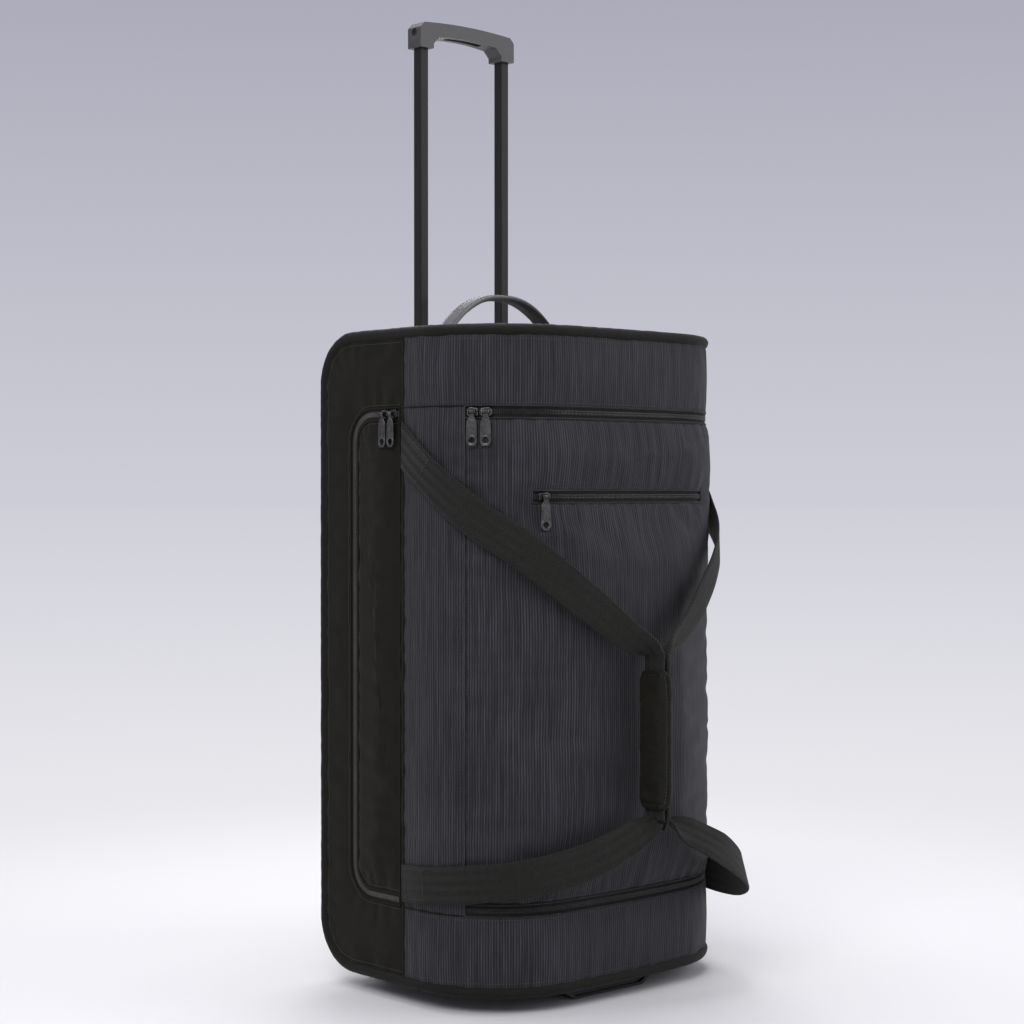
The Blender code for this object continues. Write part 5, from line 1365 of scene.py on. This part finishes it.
def build_carry_handle():
    """The arched grip on the top: padded in its middle, flat where it is sewn down."""
    low_box, high_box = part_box("carry_handle")
    middle_y = (low_box.y + high_box.y) / 2 - PLACE.y
    thick, wide = 0.005, 0.026
    half = 0.172 / 2
    rise = high_box.z - TOP - GAP - thick
    foot = TOP + GAP + thick / 2
    arch = 2.4  # the power of the arch's curve
    count = 30
    route = []
    for step in range(-count, count + 1):
        t = step / count
        slope = -arch * rise * abs(t) ** (arch - 1) * math.copysign(1, t) / half
        place = Vector((half * t, middle_y, foot + rise * (1 - abs(t) ** arch)))
        route.append((place, Vector((-slope, 0, 1)).normalized(), 0))
    up = Vector((0, 0, 1))
    flat = [(Vector((x, middle_y, foot)), up, 0) for x in np.linspace(half + 0.006, high_box.x - PLACE.x, 6)]
    other = [(Vector((-p.x, p.y, p.z)), up, 0) for p, _, _ in reversed(flat)]
    full = other + route + flat
    rows, places = [], []
    along = 0.0
    for index, (place, _, _) in enumerate(full):
        if index:
            along += (place - full[index - 1][0]).length
        across, lift = framed(full, index)
        fat = math.exp(-((place.x / (half * 0.72)) ** 6))
        height = thick * (0.42 + 0.75 * fat) / 2 * (1.15 if fat > 0.5 else 1.0)
        row, line = [], []
        for c, s in circle(1, 24):
            x = math.copysign(abs(c) ** 0.55, c)
            y = math.copysign(abs(s) ** 0.7, s)
            groove = 1 - 0.35 * fat * math.exp(-((abs(x) - 0.72) ** 2) / 0.01)
            row.append(place + across * x * wide / 2 + lift * y * height * groove)
            line.append((x * wide / 2 + (0.03 if s < 0 else 0), along))
        rows.append(row)
        places.append(line)
    name = "carry_handle_cloth"
    mesh = loft(name, rows, uv_rows=places)
    piece = show(name, mesh, "bag", HANDLE_CLOTH, slot=name, replaces=["carry_handle"])
    rails = edge_rails(full, wide, 0.0056, 0.038, along - 0.038, 0.0036, ends=False)
    for start, stop in ((0.001, 0.024), (along - 0.024, along - 0.001)):
        rails += edge_rails(full, wide, 0.0022, start, stop, 0.004)
    stitches("carry_handle_stitches", rails, "bag")


# ---------------------------------------------------------------- moulded and metal pieces
def dress(node, look, bevel=0.0, segments=3):
    """A carried-over CAD node, with its material and, if asked, eased edges."""
    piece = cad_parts[node]
    piece.data.materials.clear()
    piece.data.materials.append(look)
    if bevel:
        piece.modifiers.new("weld", "WELD").merge_threshold = 1e-5
        eased = piece.modifiers.new("eased", "BEVEL")
        eased.width = bevel
        eased.segments = segments
        eased.limit_method = "ANGLE"
        eased.angle_limit = math.radians(32)
        piece.data.shade_smooth()
        piece.modifiers.new("shaded", "WEIGHTED_NORMAL")


def spun(name, profile, place, axis, steps=56):
    """A profile of (radius, along) points turned into a closed ring about an axis."""
    bm = bmesh.new()
    rings = []
    for number in range(steps):
        angle = math.tau * number / steps
        rings.append([bm.verts.new((r * math.cos(angle), r * math.sin(angle), a)) for r, a in profile])
    for row, following in zip(rings, rings[1:] + rings[:1]):
        for k in range(len(profile)):
            j = (k + 1) % len(profile)
            bm.faces.new((row[k], following[k], following[j], row[j]))
    turn = {"X": Matrix.Rotation(math.pi / 2, 4, "Y"), "Z": Matrix.Identity(4)}[axis]
    bmesh.ops.transform(bm, matrix=Matrix.Translation(place) @ turn, verts=bm.verts)
    bmesh.ops.remove_doubles(bm, verts=bm.verts, dist=1e-6)
    return written(bm, bpy.data.meshes.new(name))


def box_of(node, axis=0):
    """The middle of a node's box, half its length along an axis and half its height."""
    low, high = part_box(node)
    return (low + high) / 2, (high[axis] - low[axis]) / 2, (high.z - low.z) / 2


def mirrored(profile):
    """A profile of (radius, along) points, carried on to its mirror image."""
    return profile + [(r, -a) for r, a in reversed(profile)]


def build_wheels():
    on_side = Matrix.Rotation(math.pi / 2, 4, "Y")
    for word in ("left", "right"):
        wheel = f"wheel_{word}"
        centre, half, radius = box_of(f"tyre_{word}")
        rim = radius - 0.0075
        ends = [(rim + 0.0002, -half * 0.86), (radius - 0.0042, -half * 0.97), (radius - 0.0014, -half * 0.86)]
        tread = list(ends)
        groove, groove_deep = 0.0012, 0.0011
        for share in (-0.5, -0.17, 0.17, 0.5):
            for place, deep in ((-1, 0), (-0.5, groove_deep), (0.5, groove_deep), (1, 0)):
                tread.append((radius - deep, half * share + place * groove))
        tread += [(r, -a) for r, a in reversed(ends)]
        moulded = spun("tyre", tread, centre, "X", 72)
        tyre = f"tyre_{word}"
        show(f"{tyre}_rubber", moulded, wheel, TYRE_RUBBER, slot="tyre_rubber", replaces=[tyre], local=False)
        steps = ((0.0034, 0.98), (0.0075, 0.98), (0.0085, 0.8), (0.0095, 0.30), (rim - 0.0045, 0.30))
        profile = [(r, -half * share) for r, share in (*steps, (rim - 0.003, 0.84), (rim, 0.86))]
        parts = [spun("hub", mirrored(profile), centre, "X")]
        rib_count = 6
        for number in range(rib_count):
            rib = filled(bar_shape(0.0085, rim - 0.0035, 0.0014, 0.0004, steps=3), (), half * 1.36, 0.0005)
            turn = Matrix.Rotation(math.tau * number / rib_count, 4, "Z")
            rib.transform(Matrix.Translation(centre) @ on_side @ turn)
            parts.append(rib)
        hub = f"wheel_hub_{word}"
        moulded = merged(*parts)
        show(f"hub_{word}_moulding", moulded, wheel, HUB_PLASTIC, slot="hub_plastic", replaces=[hub], local=False)
        axle = f"axle_{word}"
        centre, half, _ = box_of(axle)
        pin = mirrored([(0.0, -half), (0.0018, -half), (0.0027, -half + 0.0006), (0.003, -half + 0.0014)])
        mesh = spun("pin", pin, centre, "X", 32)
        show(f"{axle}_pin", mesh, "bag", AXLE_STEEL, slot="axle_steel", replaces=[axle], local=False)


def build_screws():
    """Button-headed screws with a round socket."""
    for kind, body, axis, ways in (
        ("bezel_screw", "bag", "Z", (1, 1)),
        ("foot_screw", "bag", "Z", (-1, -1)),
        ("grip_screw", "trolley_handle", "X", (-1, 1)),
    ):
        for word, out in zip(("left", "right"), ways):
            node = f"{kind}_{word}"
            centre, half, _ = box_of(node, "XYZ".index(axis))
            radius = box_of(node, 1)[1]
            outside = [(0, -1), (1, -1), (1, 0.2), (0.86, 0.75), (0.6, 1)]
            socket = [(0.46, 1), (0.42, 0.6), (0.40, -0.4), (0, -0.5)]
            profile = [(r * radius, a * half * out) for r, a in outside + socket]
            mesh = spun("screw", profile, centre, axis, 40)
            show(f"{node}_head", mesh, body, SCREW_STEEL, slot="screw_steel", replaces=[node], local=False)


def build_hard_pieces():
    for node, look, bevel, segments in (
        ("grip", GRIP_PLASTIC, 0.0036, 5),
        ("release_button", BUTTON_PLASTIC, 0.0006, 2),
        ("handle_bezel", BASE_PLASTIC, 0.0014, 3),
        ("foot_bar", BASE_PLASTIC, 0.0011, 3),
        ("tube_foot_block", BASE_PLASTIC, 0.0008, 2),
        ("back_board", BOARD, 0.0006, 2),
    ):
        dress(node, look, bevel, segments)
    for word in ("left", "right"):
        dress(f"wheel_housing_{word}", BASE_PLASTIC, 0.0012)
        dress(f"outer_tube_{word}", TUBE_METAL, 0.0008, 2)
        dress(f"inner_tube_{word}", TUBE_METAL, 0.0014)
        dress(f"pull_rod_{word}", AXLE_STEEL)
        dress(f"lock_pin_{word}", AXLE_STEEL)


# ---------------------------------------------------------------- light, floor and camera
def area_light(name, place, aim_z, size, watts):
    """A lamp that looks at a height on the bag's middle."""
    data = bpy.data.lights.new(name, "AREA")
    data.shape = "RECTANGLE"
    data.size, data.size_y = size
    data.energy = watts
    lamp = scratch_object(data, name)
    lamp.location = place
    lamp.rotation_euler = (Vector((0, 0, aim_z)) - Vector(place)).to_track_quat("-Z", "Y").to_euler()


HORIZON = (0.610, 0.610, 0.680)
HIGH_SKY = (0.400, 0.395, 0.480)
NEAR_FLOOR = (0.885, 0.879, 0.905)
FADE_START = 0.52  # how far from the bag the floor starts to turn into the backdrop
FADE_FROM = 2.9
SKY_TOP = 0.24  # how high the backdrop gets its upper colour, as a share of straight up
FLOOR_PAPER = (0.645, 0.642, 0.640, 1)
LIT_FLOOR = (0.45, 1.5)  # the floor shows the lamps' light and shadows up to here


def build_studio():
    """A pale backdrop, a floor that is lit near the bag and glows like the backdrop further off, and lamps."""
    world = bpy.data.worlds.new("studio")
    bpy.context.scene.world = world
    world.use_nodes = True
    tree = world.node_tree
    share = ramp(tree, axes(tree, coordinate(tree, "Generated"))[2], 0.0, SKY_TOP)
    fed(tree, tree.nodes["Background"], {"Color": between(tree, share, HORIZON, HIGH_SKY), "Strength": 1.0})

    pale = bpy.data.materials.new("floor_paper")
    pale.use_nodes = True
    tree = pale.node_tree
    shader = tree.nodes["Principled BSDF"]
    fed(tree, shader, {"Base Color": FLOOR_PAPER, "Roughness": 0.9})
    length = joined_node(tree, "ShaderNodeVectorMath", {0: coordinate(tree, "Object")}, operation="LENGTH")
    away = length.outputs["Value"]
    far = calc(tree, "DIVIDE", FADE_FROM, calc(tree, "ADD", away, FADE_FROM - FADE_START))
    share = ramp(tree, calc(tree, "SUBTRACT", 1.0, far), 0.0, 1.0)
    glow = joined_node(tree, "ShaderNodeEmission", {"Color": between(tree, share, NEAR_FLOOR, HORIZON)})
    unlit = ramp(tree, away, *LIT_FLOOR, interpolation_type="SMOOTHSTEP")
    mix = joined_node(tree, "ShaderNodeMixShader", {0: unlit})
    tree.links.new(shader.outputs[0], mix.inputs[1])
    tree.links.new(glow.outputs[0], mix.inputs[2])
    tree.links.new(mix.outputs[0], tree.nodes["Material Output"].inputs["Surface"])

    bm = bmesh.new()
    bmesh.ops.create_circle(bm, cap_ends=True, segments=96, radius=60)
    floor = scratch_object(written(bm, bpy.data.meshes.new("floor")), "floor")
    if floor.data.polygons[0].normal.z < 0:
        floor.data.flip_normals()
    floor.data.materials.append(pale)

    area_light("key", (-2.2, -1.2, 2.6), 0.4, (1.8, 1.8), 62)
    area_light("fill", (1.9, -2.1, 1.6), 0.4, (1.6, 2.0), 26)
    area_light("top", (0.2, 0.6, 3.0), 0.3, (2.2, 2.2), 60)
    area_light("rim", (1.6, 2.2, 1.7), 0.5, (1.4, 1.6), 30)


def build_camera():
    data = bpy.data.cameras.new("camera")
    data.sensor_width = 36
    data.lens = 73.828125
    camera = scratch_object(data, "camera")
    camera.location = (-1.627, -1.699, 0.551)
    camera.rotation_euler = (math.radians(90 - 0.65), 0, math.radians(-42.5))
    bpy.context.scene.camera = camera


build_camera()
build_studio()
panel_trees = build_panels()
build_pouches()
build_piping()
build_zips(panel_trees)
build_seams(panel_trees)
build_hardware()
build_straps()
build_wrap()
build_carry_handle()
build_wheels()
build_screws()
build_hard_pieces()
bpy.context.scene.view_settings.view_transform = "Standard"
